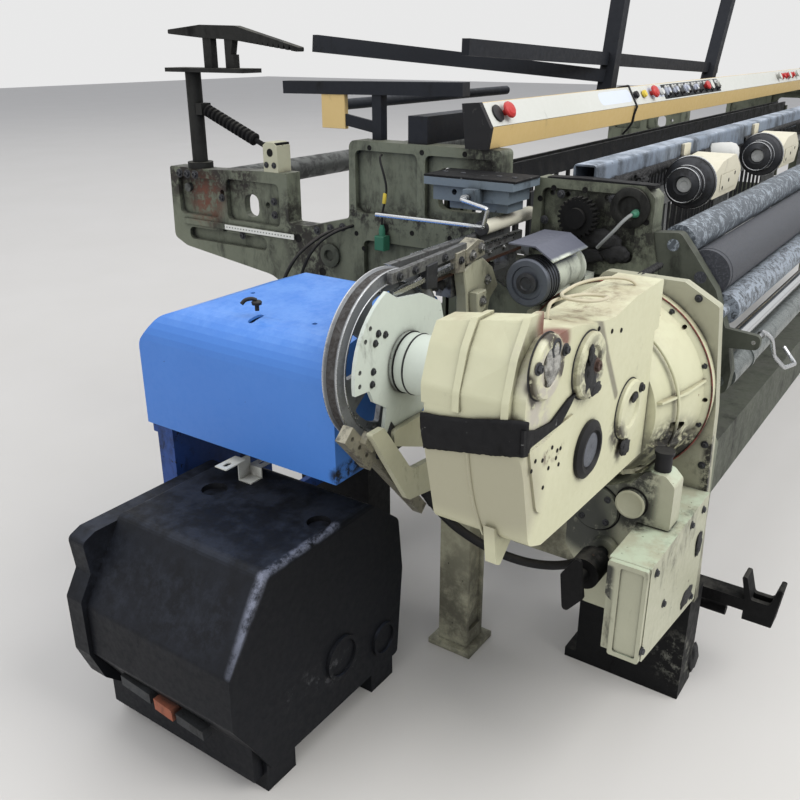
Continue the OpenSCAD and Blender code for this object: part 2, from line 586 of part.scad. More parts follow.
// Guard plate in front of the wheel, dished, with a broken lower edge
guard_r = 172;
guard_y = -320;
guard_t = 8;
module wheel_guard(broken) {
  cut = broken ? [[-185, -20], [-126, -24], [-112, -52], [-70, -78], [-78, -120], [-110, -150], [-185, -150]]
    : [[-185, -120], [-130, -130], [-110, -190], [-185, -190]];
  translate([-wheel_x, guard_y + guard_t, wheel_h]) rotate([90, 0, 0]) difference() {
    union() {
      linear_extrude(guard_t) polygon(concat(arc(0, 0, guard_r, 112, 265, 20),
        [[20, -guard_r + 6], [70, -120], [130, -60], [150, 30], [128, 96], [60, 128], [-28, 138]]));
      // Collar that the plate is screwed to, round the shaft's bearing
      translate([0, 0, -2]) cylinder(h = 2, r = 96);
      translate([0, 0, guard_t]) cylinder(h = bearing_gap, r = 62);
    }
    translate([0, 0, -10]) cylinder(h = 200, r = 40);
    translate([0, 0, -20]) linear_extrude(80) polygon(cut);
    for (a = [140, 150, 172, 182]) rotate([0, 0, a]) translate([guard_r - 16, 0, -1]) cylinder(h = 12, r = 5);
  }
}
bearing_gap = guard_y - bearing_y - 150;
module wheel_guards() color([0.78, 0.80, 0.72]) {
  wheel_guard(true);
  other_end() wheel_guard(false);
}

// Clamp block and straight guide channel that lead the tape off the wheel
clamp_a = [-wheel_x - 117, wheel_h - 134];
clamp_b = [-wheel_x + 94, wheel_h - 374];
clamp_y0 = guard_y + guard_t;
clamp_y1 = wheel_y0 - 3;
module tape_clamp() color([0.70, 0.70, 0.66]) {
  run = norm(clamp_b - clamp_a);
  lean = acos((clamp_b[0] - clamp_a[0]) / run);
  translate([clamp_a[0], 0, clamp_a[1]]) rotate([0, lean, 0]) {
    difference() {
      block(30, run, clamp_y0, clamp_y1, -26, 0);
      block(29, run + 1, clamp_y0 + 7, clamp_y1 - 7, -18, 1);
    }
    // Clamp block with its bolts' holes
    difference() {
      block(-70, 50, clamp_y0, clamp_y1, -44, -8);
      for (x = [-54, -20, 14]) rod_y(x, clamp_y0 - 1, clamp_y0 + 12, -26, 5);
    }
    // Lug that bolts to the arm of the leg
    block(-30, 8, leg_y0, clamp_y0 + 2, -20, 6);
  }
}

// Leg beside the wheel, with the arm that holds the clamp and the guard
leg_x0 = plate_x + 60;
leg_x1 = plate_x + 140;
leg_y0 = -326;
leg_y1 = -240;
module drive_leg(with_arm) {
  difference() {
    block(-leg_x1, -leg_x0, leg_y0, leg_y1, 0, 700);
    block(-leg_x1 + 10, -leg_x0 - 10, leg_y0 - 1, leg_y0 + 9, 60, 640);
    block(-leg_x1 + 10, -leg_x0 - 10, leg_y1 - 9, leg_y1 + 1, 60, 640);
  }
  block(-leg_x1 - 20, -leg_x0 + 20, leg_y0 - 20, leg_y1 + 20, 0, 16);
  // Tie back to the side frame
  block(-leg_x0, -fx, leg_y0 + 20, leg_y1 - 20, 610, 660);
  // Arm that carries the guard and the clamp
  along_y(rounded([[-leg_x1 + 30, 606], [-leg_x1 + 30, 700], [-leg_x1, 700], [-wheel_x + 60, 774], [-wheel_x - 60, 774], [-wheel_x - 60, 740],
    [-wheel_x + 40, 700], [-leg_x1, 606]], [0, 0, 0, 20, 10, 10, 30, 0]), guard_y - 12, guard_y);
  if (with_arm) along_y(rounded([[-wheel_x - 150, 800], [-wheel_x - 106, 800], [-wheel_x - 8, 668], [-leg_x1, 640],
    [-leg_x1 + 30, 640], [-leg_x1 + 30, 554], [-leg_x1, 548], [-wheel_x - 20, 600]], [4, 4, 40, 0, 0, 0, 0, 20]), leg_y0 - 14, leg_y0);
}
module drive_legs() color([0.74, 0.74, 0.62]) {
  drive_leg(true);
  other_end() drive_leg(false);
}

// Blue side cover: a thin hood, open below
hood_x0 = fx + 670;
hood_x1 = fx + 270;
hood_y0 = -196;
hood_y1 = 408;
hood_z0 = 620;
hood_top = 955;
function hood_side(t) = rounded([[-hood_x0 + t, hood_z0 - (t > 0 ? 1 : 0)], [-hood_x0 + t, 922 - t], [-hood_x1 - t, hood_top - t],
  [-hood_x1 - t, hood_z0 - (t > 0 ? 1 : 0)]], [0, 88 - t, 20, 0], 8);
function hood_front(t) = rounded([[hood_y0 + t, hood_z0 - (t > 0 ? 1 : 0)], [hood_y0 + t, hood_top + 1 - t], [hood_y1 - 220, hood_top + 1 - t],
  [hood_y1 - 58 - t * 0.6, hood_top - 54 - t * 0.8], [hood_y1 - t, hood_top - 122],
  [hood_y1 - t, hood_z0 - (t > 0 ? 1 : 0)]], [0, 12, 80, 60, 40, 0], 4);
module hood_body(t) intersection() {
  along_y(hood_side(t), hood_y0 - 1, hood_y1 + 1);
  along_x(hood_front(t), -hood_x0 - 1, -hood_x1 + 1);
}
module side_cover() color([0.22, 0.42, 0.75]) {
  difference() {
    hood_body(0);
    hood_body(cover_t);
    // Slot of the latch, and small holes
    translate([-hood_x0 + 76, 84, 880]) linear_extrude(100) polygon(rounded(box_outline(-22, 22, -9, 9), 8.9));
    for (p = [[110, -60], [250, -110], [200, 210]]) rod_z(-hood_x0 + p[0], p[1], 880, 990, 6);
    // Rounded lower corner at the wheel side
    along_y([[-hood_x1 + 1, hood_z0 - 2], [-hood_x0 + 120, hood_z0 - 2], [-hood_x0 + 210, hood_z0 + 30],
      [-hood_x1 + 1, hood_z0 + 60]], hood_y0 - 2, hood_y0 + cover_t + 1);
  }
}
module cover_stand() color([0.16, 0.32, 0.62]) difference() {
  union() {
    block(-hood_x0 + 14, -hood_x0 + 186, hood_y1 - 70, hood_y1 - 14, 0, hood_z0 + 40);
    // Ledge that the hood's lower edge rests on, and the tie to the black housing
    block(-hood_x0 + 14, -hood_x0 + 186, hood_y1 - 70, hood_y1, hood_z0 - 30, hood_z0);
    block(-hood_x0 + 40, -hood_x0 + 160, box_y1, hood_y1 - 69, 300, 340);
    block(-hood_x0 + 186, -hood_x1 - 20, hood_y1 - 50, hood_y1 - 30, 0, hood_z0 + 20);
    block(-hood_x0 + 160, -hood_x1 - 20, hood_y1 - 110, hood_y1 - 30, 0, 20);
    // Tie to the loom's back foot
    block(-hood_x1 - 21, -fx - 30, hood_y1 - 50, hood_y1 - 30, 200, 240);
  }
  // Hollow channel of the post
  block(-hood_x0 + 22, -hood_x0 + 178, hood_y1 - 62, hood_y1 - 13, 40, hood_z0 + 20);
}

// Black moulded housing that stands on the floor
box_x0 = box_near_x;
box_x1 = fx + 446;
box_y0 = -214;
box_y1 = 272;
box_back = box_y1 - 50;
module floor_housing() color([0.07, 0.07, 0.08]) difference() {
  union() {
    // Main body with its long bevels
    intersection() {
      along_y(rounded([[-box_x0 + 10, 232], [-box_x0 + 12, 356], [-box_x0 + 130, box_h + 7], [-box_x1 - 130, box_h + 7],
        [-box_x1 - 16, 445], [-box_x1, 300], [-box_x1 - 24, 58], [-box_x0 + 110, 58], [-box_x0 + 60, 150]],
        [14, 20, 26, 30, 30, 20, 10, 10, 14]), box_y0, box_back);
      along_x(rounded([[box_y0, 50], [box_y0, box_h + 7], [box_back, box_h + 7], [box_back, 50]], [0, 16, 10, 0]),
        -box_x0 - 1, -box_x1 + 1);
    }
    // Straight shoulder along the far side
    along_y(rounded([[-box_x0, 232], [-box_x0, 372], [-box_x0 + 34, 428], [-box_x0 + 26, 508], [-box_x0 + 60, box_h - 8],
      [-box_x1 - 150, box_h - 8], [-box_x1 - 40, 440], [-box_x1 - 20, 100], [-box_x0 + 80, 100], [-box_x0 + 30, 150]],
      [14, 14, 10, 14, 14, 30, 30, 10, 10, 14]), box_back - 1, box_y1);
    // Recessed skirt and corner feet
    block(-box_x0 + 70, -box_x1 - 70, box_y0 + 16, box_y1 - 16, 40, 170);
    for (x = [-box_x0 + 98, -box_x1 - 130], y = [box_y0 + 4, box_y1 - 76]) block(x, x + 90, y, y + 72, 0, 130);
    // Raised round pads on the near side
    rod_y(-box_x0 + 355, box_y0 - 8, box_y0 + 1, 192, 54);
    rod_y(-box_x0 + 518, box_y0 - 8, box_y0 + 1, 140, 44);
  }
  rod_y(-box_x0 + 355, box_y0 - 9, box_y0 - 2, 192, 45);
  rod_y(-box_x0 + 518, box_y0 - 9, box_y0 - 2, 140, 36);
  // Plug recesses in the top
  rod_z(-box_x0 + 326, 128, box_h - 6, box_h + 10, 30);
  rod_z(-box_x0 + 348, -170, box_h - 6, box_h + 10, 27);
  // Hollow underside between the feet
  block(-box_x0 + 170, -box_x1 - 170, box_y0 + 90, box_y1 - 90, -1, 330);
}
// White bracket with slotted holes, bent twice
module hook_bracket() color([0.88, 0.88, 0.86]) {
  x = -box_x0 + 390;
  z = box_h + 7;
  difference() {
    union() {
      block(x, x + 40, 72, 112, z, z + 3);
      block(x, x + 40, 109, 112, z, z + 54);
      block(x - 52, x + 14, 96, 132, z + 51, z + 54);
      block(x + 37, x + 40, 72, 112, z, z + 28);
      block(x + 37, x + 84, 76, 112, z + 25, z + 28);
    }
    translate([x - 30, 114, z + 50]) linear_extrude(6) polygon(rounded(box_outline(-12, 12, -6, 6), 5.9));
    translate([x + 62, 94, z + 24]) linear_extrude(6) polygon(rounded(box_outline(-10, 10, -5, 5), 4.9));
  }
}

// Control panel: a folded bar with a sloping face sheet
slope = [33, 57] / norm([33, 57]);
face_normal = [-slope[1], slope[0]];
panel_y = -175;
panel_z = 1307;
module panel_body() color([0.80, 0.68, 0.42]) difference() {
  along_x([[-109, frame_top], [-167, frame_top], [panel_y, panel_z], [panel_y, panel_z] + slope * face_w,
    [-97, 1360]], -fx + 3, fx - 3);
  along_x([[-113, frame_top + 4], [-162, frame_top + 4], [panel_y + 6, panel_z], [panel_y + 6, panel_z - 2] + slope * (face_w - 3),
    [-102, 1354]], -fx + 30, fx - 30);
  for (x = control_x) on_face(x) translate([0, 0, -30]) cylinder(h = 31, r = stem_r + 4);
}
// Puts children on the sloping face at x, with +Z out of the face
module on_face(x) translate([x, panel_y + slope[0] * face_w / 2, panel_z + slope[1] * face_w / 2])
  rotate([90 - atan2(face_normal[1], -face_normal[0]), 0, 0]) children();
stem_r = 8;
row_x = -908;
control_x = [-fx + 88, row_x + 1.9 * button_pitch, row_x, row_x + 0.92 * button_pitch, row_x + 3.05 * button_pitch];
fixed_x = [for (k = [3.9, 4.95, 6.5, 7.85, 11.6]) row_x + k * button_pitch];
far_x = [row_x + 10 * button_pitch, 1085, 1298, 1486];
module panel_face() color([0.86, 0.86, 0.84]) {
  difference() {
    along_x([for (p = [[1.5, 0.01], [face_w - 1.5, 0.01], [face_w - 1.5, face_t], [1.5, face_t]])
      [panel_y, panel_z] + slope * p[0] + face_normal * p[1]], -fx + 3, fx - 3);
    for (x = control_x) on_face(x) translate([0, 0, -1]) cylinder(h = face_t + 2, r = stem_r + 0.3);
  }
  // Switches that stay fixed to the sheet
  for (x = fixed_x) on_face(x) {
    translate([0, 0, face_t]) cylinder(h = 6, r = button_r + 5);
    translate([0, 0, face_t + 6]) cylinder(h = 8, r = button_r - 2);
  }
  for (x = far_x) on_face(x) {
    translate([0, 0, face_t]) cylinder(h = 10, r = 12);
    translate([0, 0, face_t + 10]) cylinder(h = 9, r1 = 15, r2 = 19);
  }
}
module panel_caps() color([0.10, 0.11, 0.13]) for (s = [-1, 1])
  along_x([[-107, frame_top], [-169, frame_top], [panel_y - 3, panel_z], [panel_y - 3, panel_z] + slope * (face_w + 2),
    [-95, 1362]], s < 0 ? -fx - 12 : fx - 3, s < 0 ? -fx + 3 : fx + 12);
// A push button with its stem through the sheet
module push_button(x, head_r, head_h) on_face(x) {
  translate([0, 0, -18]) cylinder(h = 18 + face_t + button_travel + 1, r = stem_r);
  translate([0, 0, face_t + button_travel + 1]) cylinder(h = head_h, r1 = head_r, r2 = head_r - 2);
}
module mushroom(x) on_face(x) {
  translate([0, 0, -18]) cylinder(h = 18 + face_t + button_travel + 8, r = stem_r);
  translate([0, 0, face_t + button_travel + 8]) rotate_extrude() polygon([[0, 0], [20, 0], [22, 3], [21, 8], [15, 13], [0, 15]]);
}
module estop_left() color([0.75, 0.12, 0.10]) mushroom(control_x[0]);
module estop_mid() color([0.75, 0.12, 0.10]) mushroom(control_x[1]);
module button_1() color([0.08, 0.08, 0.08]) push_button(control_x[2], button_r, 8);
module button_2() color([0.85, 0.75, 0.30]) push_button(control_x[3], button_r, 8);
module button_3() color([0.90, 0.90, 0.90]) push_button(control_x[4], button_r, 8);

// Weft feeders on the front cross beam
feeder_x = [-1360, -560];
feeder_y = -505;
feeder_z = shoulder_h - 65;
module feeder_body(x) {
  difference() {
    union() {
      along_y(rounded([[x + 40, feeder_z - 46], [x + 290, feeder_z - 46], [x + 330, feeder_z + 10],
        [x + 250, feeder_z + 62], [x + 120, feeder_z + 52], [x + 40, feeder_z + 20]], [8, 20, 20, 30, 20, 10]),
        feeder_y - 60, feeder_y + 52);
      // Foot that reaches back over the beam's front edge
      block(x + 150, x + 210, feeder_y + 40, beam_y0, beam_z0 + 4, beam_z0 + 24);
      block(x + 150, x + 210, beam_y0 - 10, beam_y0, beam_z0, beam_z1 - 6);
    }
    rod_x(x + 39, x + 90, feeder_y, feeder_z, journal_r + fit);
    rod_y(x + 70, feeder_y - 61, feeder_y - 40, feeder_z - 20, 8);
  }
}
module weft_feeders() color([0.80, 0.79, 0.70]) for (x = feeder_x) feeder_body(x);
module feeder_drum(x) translate([x + 36, feeder_y, feeder_z]) rotate([0, -90, 0]) {
  rotate_extrude() polygon([[0, 0], [66, 0], [72, 8], [72, 20], [62, 26], [50, 30], [50, 70], [44, 76], [26, 80], [20, 60], [0, 60]]);
  translate([0, 0, -40]) cylinder(h = 40, r = journal_r);
}
module feeder_drum_1() color([0.14, 0.14, 0.17]) feeder_drum(feeder_x[0]);
module feeder_drum_2() color([0.14, 0.14, 0.17]) feeder_drum(feeder_x[1]);

// Small motor with a hand wheel, above the drive housing
motor_y = -420;
motor_z = joint_h + 20;
motor_x1 = fx + 50;
module motor() color([0.74, 0.75, 0.66]) difference() {
  union() {
    translate([-motor_x1 - 6, motor_y, motor_z]) rotate([0, -90, 0]) rotate_extrude()
      polygon([[0, 0], [52, 0], [52, 10], [44, 14], [40, 60], [46, 70], [46, 128], [38, 140], [0, 140]]);
    block(-motor_x1 - 6, -fx, motor_y - 50, motor_y + 50, motor_z - 60, motor_z - 20);
    block(-motor_x1 - 120, -motor_x1 - 6, motor_y - 20, motor_y + 20, motor_z - 70, motor_z - 36);
    // Grey sheet guard above the motor
    along_x([[motor_y - 62, motor_z + 56], [motor_y - 16, motor_z + 84], [motor_y + 50, motor_z + 84],
      [motor_y + 50, motor_z + 81], [motor_y - 15, motor_z + 81], [motor_y - 60, motor_z + 53]], -motor_x1 - 210, -motor_x1 - 30);
    block(-motor_x1 - 60, -motor_x1 - 50, motor_y + 30, motor_y + 40, motor_z + 20, motor_z + 82);
  }
  rod_x(-motor_x1 - 147, -motor_x1 - 90, motor_y, motor_z, journal_r - 4 + fit);
}
module motor_wheel() color([0.17, 0.18, 0.18])
  translate([-motor_x1 - 150, motor_y, motor_z]) rotate([0, -90, 0]) {
    rotate_extrude() polygon([[0, 0], [52, 0], [54, 4], [54, 56], [50, 60], [38, 60], [36, 55], [22, 55], [20, 62], [0, 62]]);
    translate([0, 0, -40]) cylinder(h = 40, r = journal_r - 4);
  }

// Rails that carry the tape from the wheel to the frame
rail_x0 = fx + 4;
rail_x1 = wheel_x - 6;
module tape_rail() {
  difference() {
    along_x(rounded([[race_y - 24, race_h - 8], [race_y + 24, race_h - 8], [race_y + 24, race_h + 52],
      [race_y + 10, race_h + 52], [race_y + 10, race_h + 14], [race_y - 10, race_h + 14], [race_y - 10, race_h + 40],
      [race_y - 24, race_h + 40]], [4, 4, 2, 2, 0, 0, 2, 2]), -rail_x1, -rail_x0);
    // The near end clears the wheel's rim
    translate([-wheel_x, race_y, wheel_h]) rotate([90, 0, 0]) cylinder(h = 80, r = wheel_r + 1, center = true, $fn = 96);
    for (x = [-rail_x1 + 250:70:-rail_x0 - 30]) rod_y(x, race_y - 25, race_y - 9, race_h + 26, 4);
  }
  // Brackets down to the frame's outer face
  for (x = [-rail_x0 - 60, -rail_x0 - 330]) block(x, x + 40, race_y - 20, race_y + 20, race_h - 40, race_h - 8);
  block(-rail_x0 - 330, -fx, race_y - 20, race_y + 20, race_h - 60, race_h - 40);
  // Pale tube above the rail
  difference() {
    rod_x(-rail_x0 - 166, -rail_x0 + 94, race_y, race_h + 67, 15.5);
    rod_x(-rail_x0 - 167, -rail_x0 - 40, race_y, race_h + 67, 12);
  }
  block(-rail_x0 - 100, -rail_x0 - 80, race_y + 10, race_y + 22, race_h + 50, race_h + 66);
  along_y(rounded([[-fx, race_h - 60], [-fx, 920], [-fx - 30, 920], [-fx - 120, race_h - 60]], [0, 0, 10, 0]), race_y - 20, race_y - 6);
}
module tape_rails() color([0.55, 0.54, 0.52]) {
  tape_rail();
  other_end() tape_rail();
}

// Sley: rocker shaft, swords and race
sley_gap = 8;
sley_x = fin - sley_gap;
module sley() color([0.48, 0.48, 0.46]) {
  rod_x(-fin + 1, fin - 1, race_y, rock_h + 115, 30);
  for (s = [-1, 1]) rod_x(s < 0 ? -fx + 6 : fin - 1, s < 0 ? -fin + 1 : fx - 6, race_y, rock_h + 115, 36 - fit);
  for (x = [-1600:800:1600]) along_x(rounded([[race_y - 34, rock_h + 90], [race_y + 34, rock_h + 90],
    [race_y + 24, race_h - 40], [race_y - 24, race_h - 40]], 6), x - 12, x + 12);
  difference() {
    along_x(rounded([[race_y - 44, race_h - 40], [race_y + 44, race_h - 40], [race_y + 44, race_h - 10],
      [race_y + 20, race_h - 10], [race_y + 20, race_h], [race_y - 44, race_h]], [8, 8, 4, 0, 0, 4]), -sley_x, sley_x);
    for (x = [-1700:170:1700]) rod_z(x, race_y - 30, race_h - 12, race_h + 1, 6);
  }
}
// Reed: a wall with open gaps between its dents
reed_x = sley_x - 60;
module reed() color([0.70, 0.71, 0.72]) {
  pitch = 2 * (reed_x - 20) / reed_gaps;
  difference() {
    block(-reed_x, reed_x, race_y + 22, race_y + 34, race_h - 10, race_h + reed_h);
    for (i = [0:reed_gaps - 1]) block(-reed_x + 20 + (i + 0.25) * pitch, -reed_x + 20 + (i + 0.75) * pitch,
      race_y + 21, race_y + 35, race_h + 12, race_h + reed_h - 20);
  }
}

// Heald frames: a frame of two rails and two stiles, with healds between
heald_x = fin - 16;
module heald_frame(y) {
  z0 = heald_z0;
  z1 = z0 + heald_h;
  difference() {
    block(-heald_x, heald_x, y - 5, y + 5, z0, z1);
    for (i = [0:39]) block(-heald_x + 30 + i * (2 * heald_x - 60) / 40, -heald_x + 30 + (i + 0.86) * (2 * heald_x - 60) / 40,
      y - 6, y + 6, z0 + 60, z1 - 60);
  }
}
module heald_frame_1() color([0.66, 0.67, 0.68]) heald_frame(heald_y[0]);
module heald_frame_2() color([0.66, 0.67, 0.68]) heald_frame(heald_y[1]);

// Back post on the frame's extension, with its plate and toothed bars
post_x = -fx + 30;
post_y = 895;
post_top = 1420;
module back_post() color([0.30, 0.31, 0.30]) difference() {
  union() {
    rod_z(post_x, post_y, 1134, post_top, 24);
    rod_z(post_x, post_y, 1134, 1152, 40);
    block(post_x - 40, post_x + 40, post_y - 250, post_y + 80, post_top, post_top + 12);
    // Bracket that lifts the toothed bars
    for (y = [post_y - 100, post_y - 190]) block(post_x - 12, post_x + 12, y, y + 34, post_top + 12, post_top + 96);
    along_x(rounded([[post_y + 80, post_top + 120], [post_y + 80, post_top + 108], [post_y - 60, post_top + 96],
      [post_y - 190, post_top + 90], [post_y - 440, post_top + 58], [post_y - 440, post_top + 70],
      [post_y - 200, post_top + 128], [post_y - 60, post_top + 132]], 4), post_x - 14, post_x + 14);
    // Ears that hold the spring's upper end
    block(post_x - 20, post_x + 20, post_y - 46, post_y - 20, 1296, 1330);
  }
  // Teeth cut in the lower edge of the bar
  for (i = [0:11]) along_x([[post_y - 420 + i * 20, post_top + 50], [post_y - 410 + i * 20, post_top + 78 + i * 1.2],
    [post_y - 400 + i * 20, post_top + 50]], post_x - 15, post_x + 15);
}
// Coil spring from the post down to a bracket on the extension
spring_r = 19;
spring_turns = 13;
spring_a = [post_y - 48, 1310];
spring_b = [600, 1212];
module back_spring() color([0.07, 0.07, 0.07]) {
  d = spring_b - spring_a;
  l = norm(d);
  difference() {
  translate([post_x, spring_a[0], spring_a[1]]) rotate([acos(d[1] / l), 0, 0]) {
    difference() {
      rotate_extrude() polygon(concat([[0, 0]], [for (i = [0:spring_turns - 1], p = [[0.08, 0], [0.3, 5], [0.7, 5], [0.92, 0]])
        [spring_r - 5 + p[1], (i + p[0]) * (l - 50) / spring_turns]], [[0, l - 50]]));
      translate([0, 0, -1]) cylinder(h = l - 48, r = 8);
    }
    cylinder(h = l, r = 7.6);
  }
  // Flat end against the post's ears
  block(post_x - 40, post_x + 40, post_y - 46, post_y, 1270, 1350);
  }
  // Bolted bracket on top of the extension
  block(post_x - 28, post_x + 28, 540, 592, 1146, 1230);
}

// Whip roll between the rear extensions
whip = [940, 1070];
module whip_roll() color([0.55, 0.56, 0.55]) {
  rod_x(-fin + 12, fin - 12, whip[0], whip[1], 40);
  rod_x(-fx + 6, -fin + 12, whip[0], whip[1], journal_r);
  rod_x(fin - 12, fx - 6, whip[0], whip[1], journal_r);
}

// Beams and posts above the loom
module bar(a, b, w, h) {
  d = b - a;
  translate(a) rotate([0, -asin(d[2] / norm(d)), atan2(d[1], d[0])])
    translate([0, -w / 2, -h / 2]) cube([norm(d), w, h]);
}
module overhead_beams() color([0.09, 0.10, 0.11]) {
  // Beam behind the panel that carries the posts
  block(-fx + 10, fx - 10, 20, 80, frame_top, frame_top + 70);
  // Slate bar on its own post
  block(-fx + 36, -fx + 64, 186, 216, frame_top, 1386);
  bar([-fx + 50, -70, 1392], [-fx + 50, 530, 1384], 36, 34);
  // Leaning posts
  bar([-644, 50, frame_top + 50], [-505, 50, 1945], 54, 50);
  bar([600, 50, frame_top + 50], [915, 50, 1935], 54, 50);
  // Long bars that run back from the posts
  bar([-600, 50, 1384], [-fx + 50, 420, 1500], 24, 44);
  bar([-1640, 60, 1490], [760, 60, 1384], 24, 44);
  // Steel tube with its plate
  rod_x(-fx + 50, -850, 350, 1340, 15);
  block(-fx + 36, -fx + 50, 310, 390, 1280, 1376);
  bar([-fx + 43, 350, 1310], [-fx + 43, 200, 1286], 10, 30);
}

// Grey selvedge unit on the frame's outer face
unit_x = -fx - 150;
rod_y0 = -215;
unit_h = race_h + 154;
rod_h = unit_h - 18;
module selvedge_unit() color([0.45, 0.50, 0.52]) difference() {
  union() {
    block(unit_x, -fx - 12, -318, -75, unit_h, unit_h + 18);
    block(unit_x + 20, -fx, -204, -90, unit_h - 38, unit_h);
    block(unit_x + 20, -fx - 20, -296, -204, unit_h - 34, unit_h);
    block(unit_x + 50, -fx - 20, -280, -120, unit_h - 60, unit_h - 34);
    block(unit_x - 24, unit_x + 20, rod_y0 - 16, rod_y0 + 16, rod_h - 14, unit_h);
  }
  for (y = [-280, -255, -180, -150]) rod_x(unit_x + 19, unit_x + 40, y, unit_h - 16, 7);
  rod_x(unit_x - 25, unit_x + 60, rod_y0, rod_h, wire_r + fit);
}
rod_route = [[-6, 0, 0], [-24, 0, 0], [-28, -74, -14], [-28, -64, -56], [-28, 240, -58]];
module selvedge_rod() color([0.82, 0.82, 0.83]) {
  translate([unit_x - 34, rod_y0, rod_h]) sweep(bent(rod_route, 6), wire_r, 10);
  rod_x(unit_x - 34, unit_x + 55, rod_y0, rod_h, wire_r);
  // Collar that the wire leaves from
  rod_x(unit_x - 46, unit_x - 34, rod_y0, rod_h, wire_r + 4);
}

// Black gear on the front part of the side frame
pick = [-430, 1120];
module pick_gear() color([0.10, 0.10, 0.10]) {
  gear_x(-fx - 40, -fx - 12, pick[0], pick[1], 48, 24, 7);
  rod_x(-fx - 52, -fx - 40, pick[0], pick[1], 24);
  rod_x(-fx - 12, -fx + 50, pick[0], pick[1], journal_r - 0.06);
}

// Black hose that hangs from the tape guide to the foot of the gearbox
hose_route = [[-2326, -270, 520], [-2316, -280, 490], [-2304, -300, 460], [-2290, -330, 428], [-2272, -368, 398],
  [-2252, -410, 372], [-2230, -455, 352], [-2206, -500, 340], [-2180, -542, 336], [-2152, -578, 340], [-2124, -602, 350],
  [-2098, -612, 354], [-plate_x - 0.3, -612, 354]];
module drive_hose() color([0.05, 0.05, 0.06]) sweep(hose_route, 11);
// Grey cable from the sensor on the frame's front part
cable_route = [[-fx - 0.3, -562, 1140], [-1916, -562, 1140], [-1930, -560, 1140], [-1942, -556, 1136], [-1953, -547, 1125],
  [-1960, -535, 1108], [-1962, -520, 1090], [-1958, -505, 1074], [-1950, -492, 1060]];
module sensor_cable() color([0.45, 0.46, 0.46]) sweep(cable_route, 4);

at_origin() side_frame_left();
at_origin() side_frame_right();
at_origin() end_plates();
at_origin() feet();
at_origin() cross_girders();
at_origin() front_crossbeam();
at_origin() roller_brackets();
at_origin() spreader_roller();
at_origin() take_up_roller();
at_origin() press_roller();
at_origin() chrome_tube();
at_origin() guide_bar();
at_origin() take_up_gear();
at_origin() stop_handle();
at_origin() take_up_gearbox();
at_origin() gearbox_cover();
at_origin() filler_cap();
at_origin() gearbox_coupling();
at_origin() cloth_forks();
at_origin() drive_housing_left();
at_origin() drive_cover_left();
at_origin() drive_housing_right();
at_origin() drive_plug();
at_origin() rapier_wheel_left();
at_origin() rapier_wheel_right();
at_origin() wheel_guards();
at_origin() tape_clamp();
at_origin() drive_legs();
at_origin() side_cover();
at_origin() cover_stand();
at_origin() floor_housing();
at_origin() hook_bracket();
at_origin() panel_body();
at_origin() panel_face();
at_origin() panel_caps();
at_origin() estop_left();
at_origin() estop_mid();
at_origin() button_1();
at_origin() button_2();
at_origin() button_3();
at_origin() weft_feeders();
at_origin() feeder_drum_1();
at_origin() feeder_drum_2();
at_origin() motor();
at_origin() motor_wheel();
at_origin() tape_rails();
at_origin() sley();
at_origin() reed();
at_origin() heald_frame_1();
at_origin() heald_frame_2();
at_origin() back_post();
at_origin() back_spring();
at_origin() whip_roll();
at_origin() overhead_beams();
at_origin() selvedge_unit();
at_origin() selvedge_rod();
at_origin() pick_gear();
at_origin() drive_hose();
at_origin() sensor_cable();
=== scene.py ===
# Looks of the power loom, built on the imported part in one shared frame
import random
from math import cos, hypot, pi, radians, sin

import bmesh
import bpy
from mathutils import Matrix, Vector, noise


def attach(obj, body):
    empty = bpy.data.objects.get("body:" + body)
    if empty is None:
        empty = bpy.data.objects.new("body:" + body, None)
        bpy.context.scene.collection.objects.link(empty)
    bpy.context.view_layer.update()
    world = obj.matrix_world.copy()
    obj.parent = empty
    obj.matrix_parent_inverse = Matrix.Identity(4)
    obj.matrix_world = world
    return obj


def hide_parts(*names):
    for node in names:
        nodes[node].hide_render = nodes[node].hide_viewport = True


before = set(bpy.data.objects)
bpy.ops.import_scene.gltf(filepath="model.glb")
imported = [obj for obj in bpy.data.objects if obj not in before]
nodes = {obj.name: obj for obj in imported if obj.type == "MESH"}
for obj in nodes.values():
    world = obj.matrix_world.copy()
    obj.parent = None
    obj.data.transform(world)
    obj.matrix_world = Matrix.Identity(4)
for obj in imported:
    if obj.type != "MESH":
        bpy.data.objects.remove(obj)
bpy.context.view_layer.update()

# Places are written in the loom's own millimetres, as in the part's source, and moved by ORIGIN_X
ORIGIN_X = 62.0


def at(x, y, z):
    """A place in the loom's millimetres, as a point in the frame in metres."""
    return Vector(((x + ORIGIN_X) / 1000, y / 1000, z / 1000))


def mm(value):
    return value / 1000


# Directions that faces, bolts and rings look in
LEFT = (-1, 0, 0)
RIGHT = (1, 0, 0)
FRONT = (0, -1, 0)
BACK = (0, 1, 0)
UP = (0, 0, 1)

# Faces and axes of the solids that carry the detail, in the loom's millimetres
FRAME_X = -1900
WHEEL_X = -2485
WHEEL_Z = 904
BELL_Y = -608
BELL_Z = 805
MOTOR_Y = -420
MOTOR_Z = 1010
DRUM_Y = -505
DRUM_Z = 1135
NOSE_X = -2820
JOINT_Z = 952
JOINT_DROP = 183
NOSE_LEAN = 43
COVER_Y = -750
HOUSING_Y = -754
RAIL_FROM = -2330
RAIL_TO = -1910
PANEL_FOOT = (-175, 1307)

# Camera at the photograph's place
CAMERA_AT = (-3.788, -1.250, 1.5)
YAW = radians(34.7116)
PITCH = radians(22.4041)
ROLL = radians(-0.1245)
SENSOR_WIDTH = 36
PHOTO_SIZE = 800
FOCAL_PIXELS = 865.67
FOCAL = SENSOR_WIDTH * FOCAL_PIXELS / PHOTO_SIZE


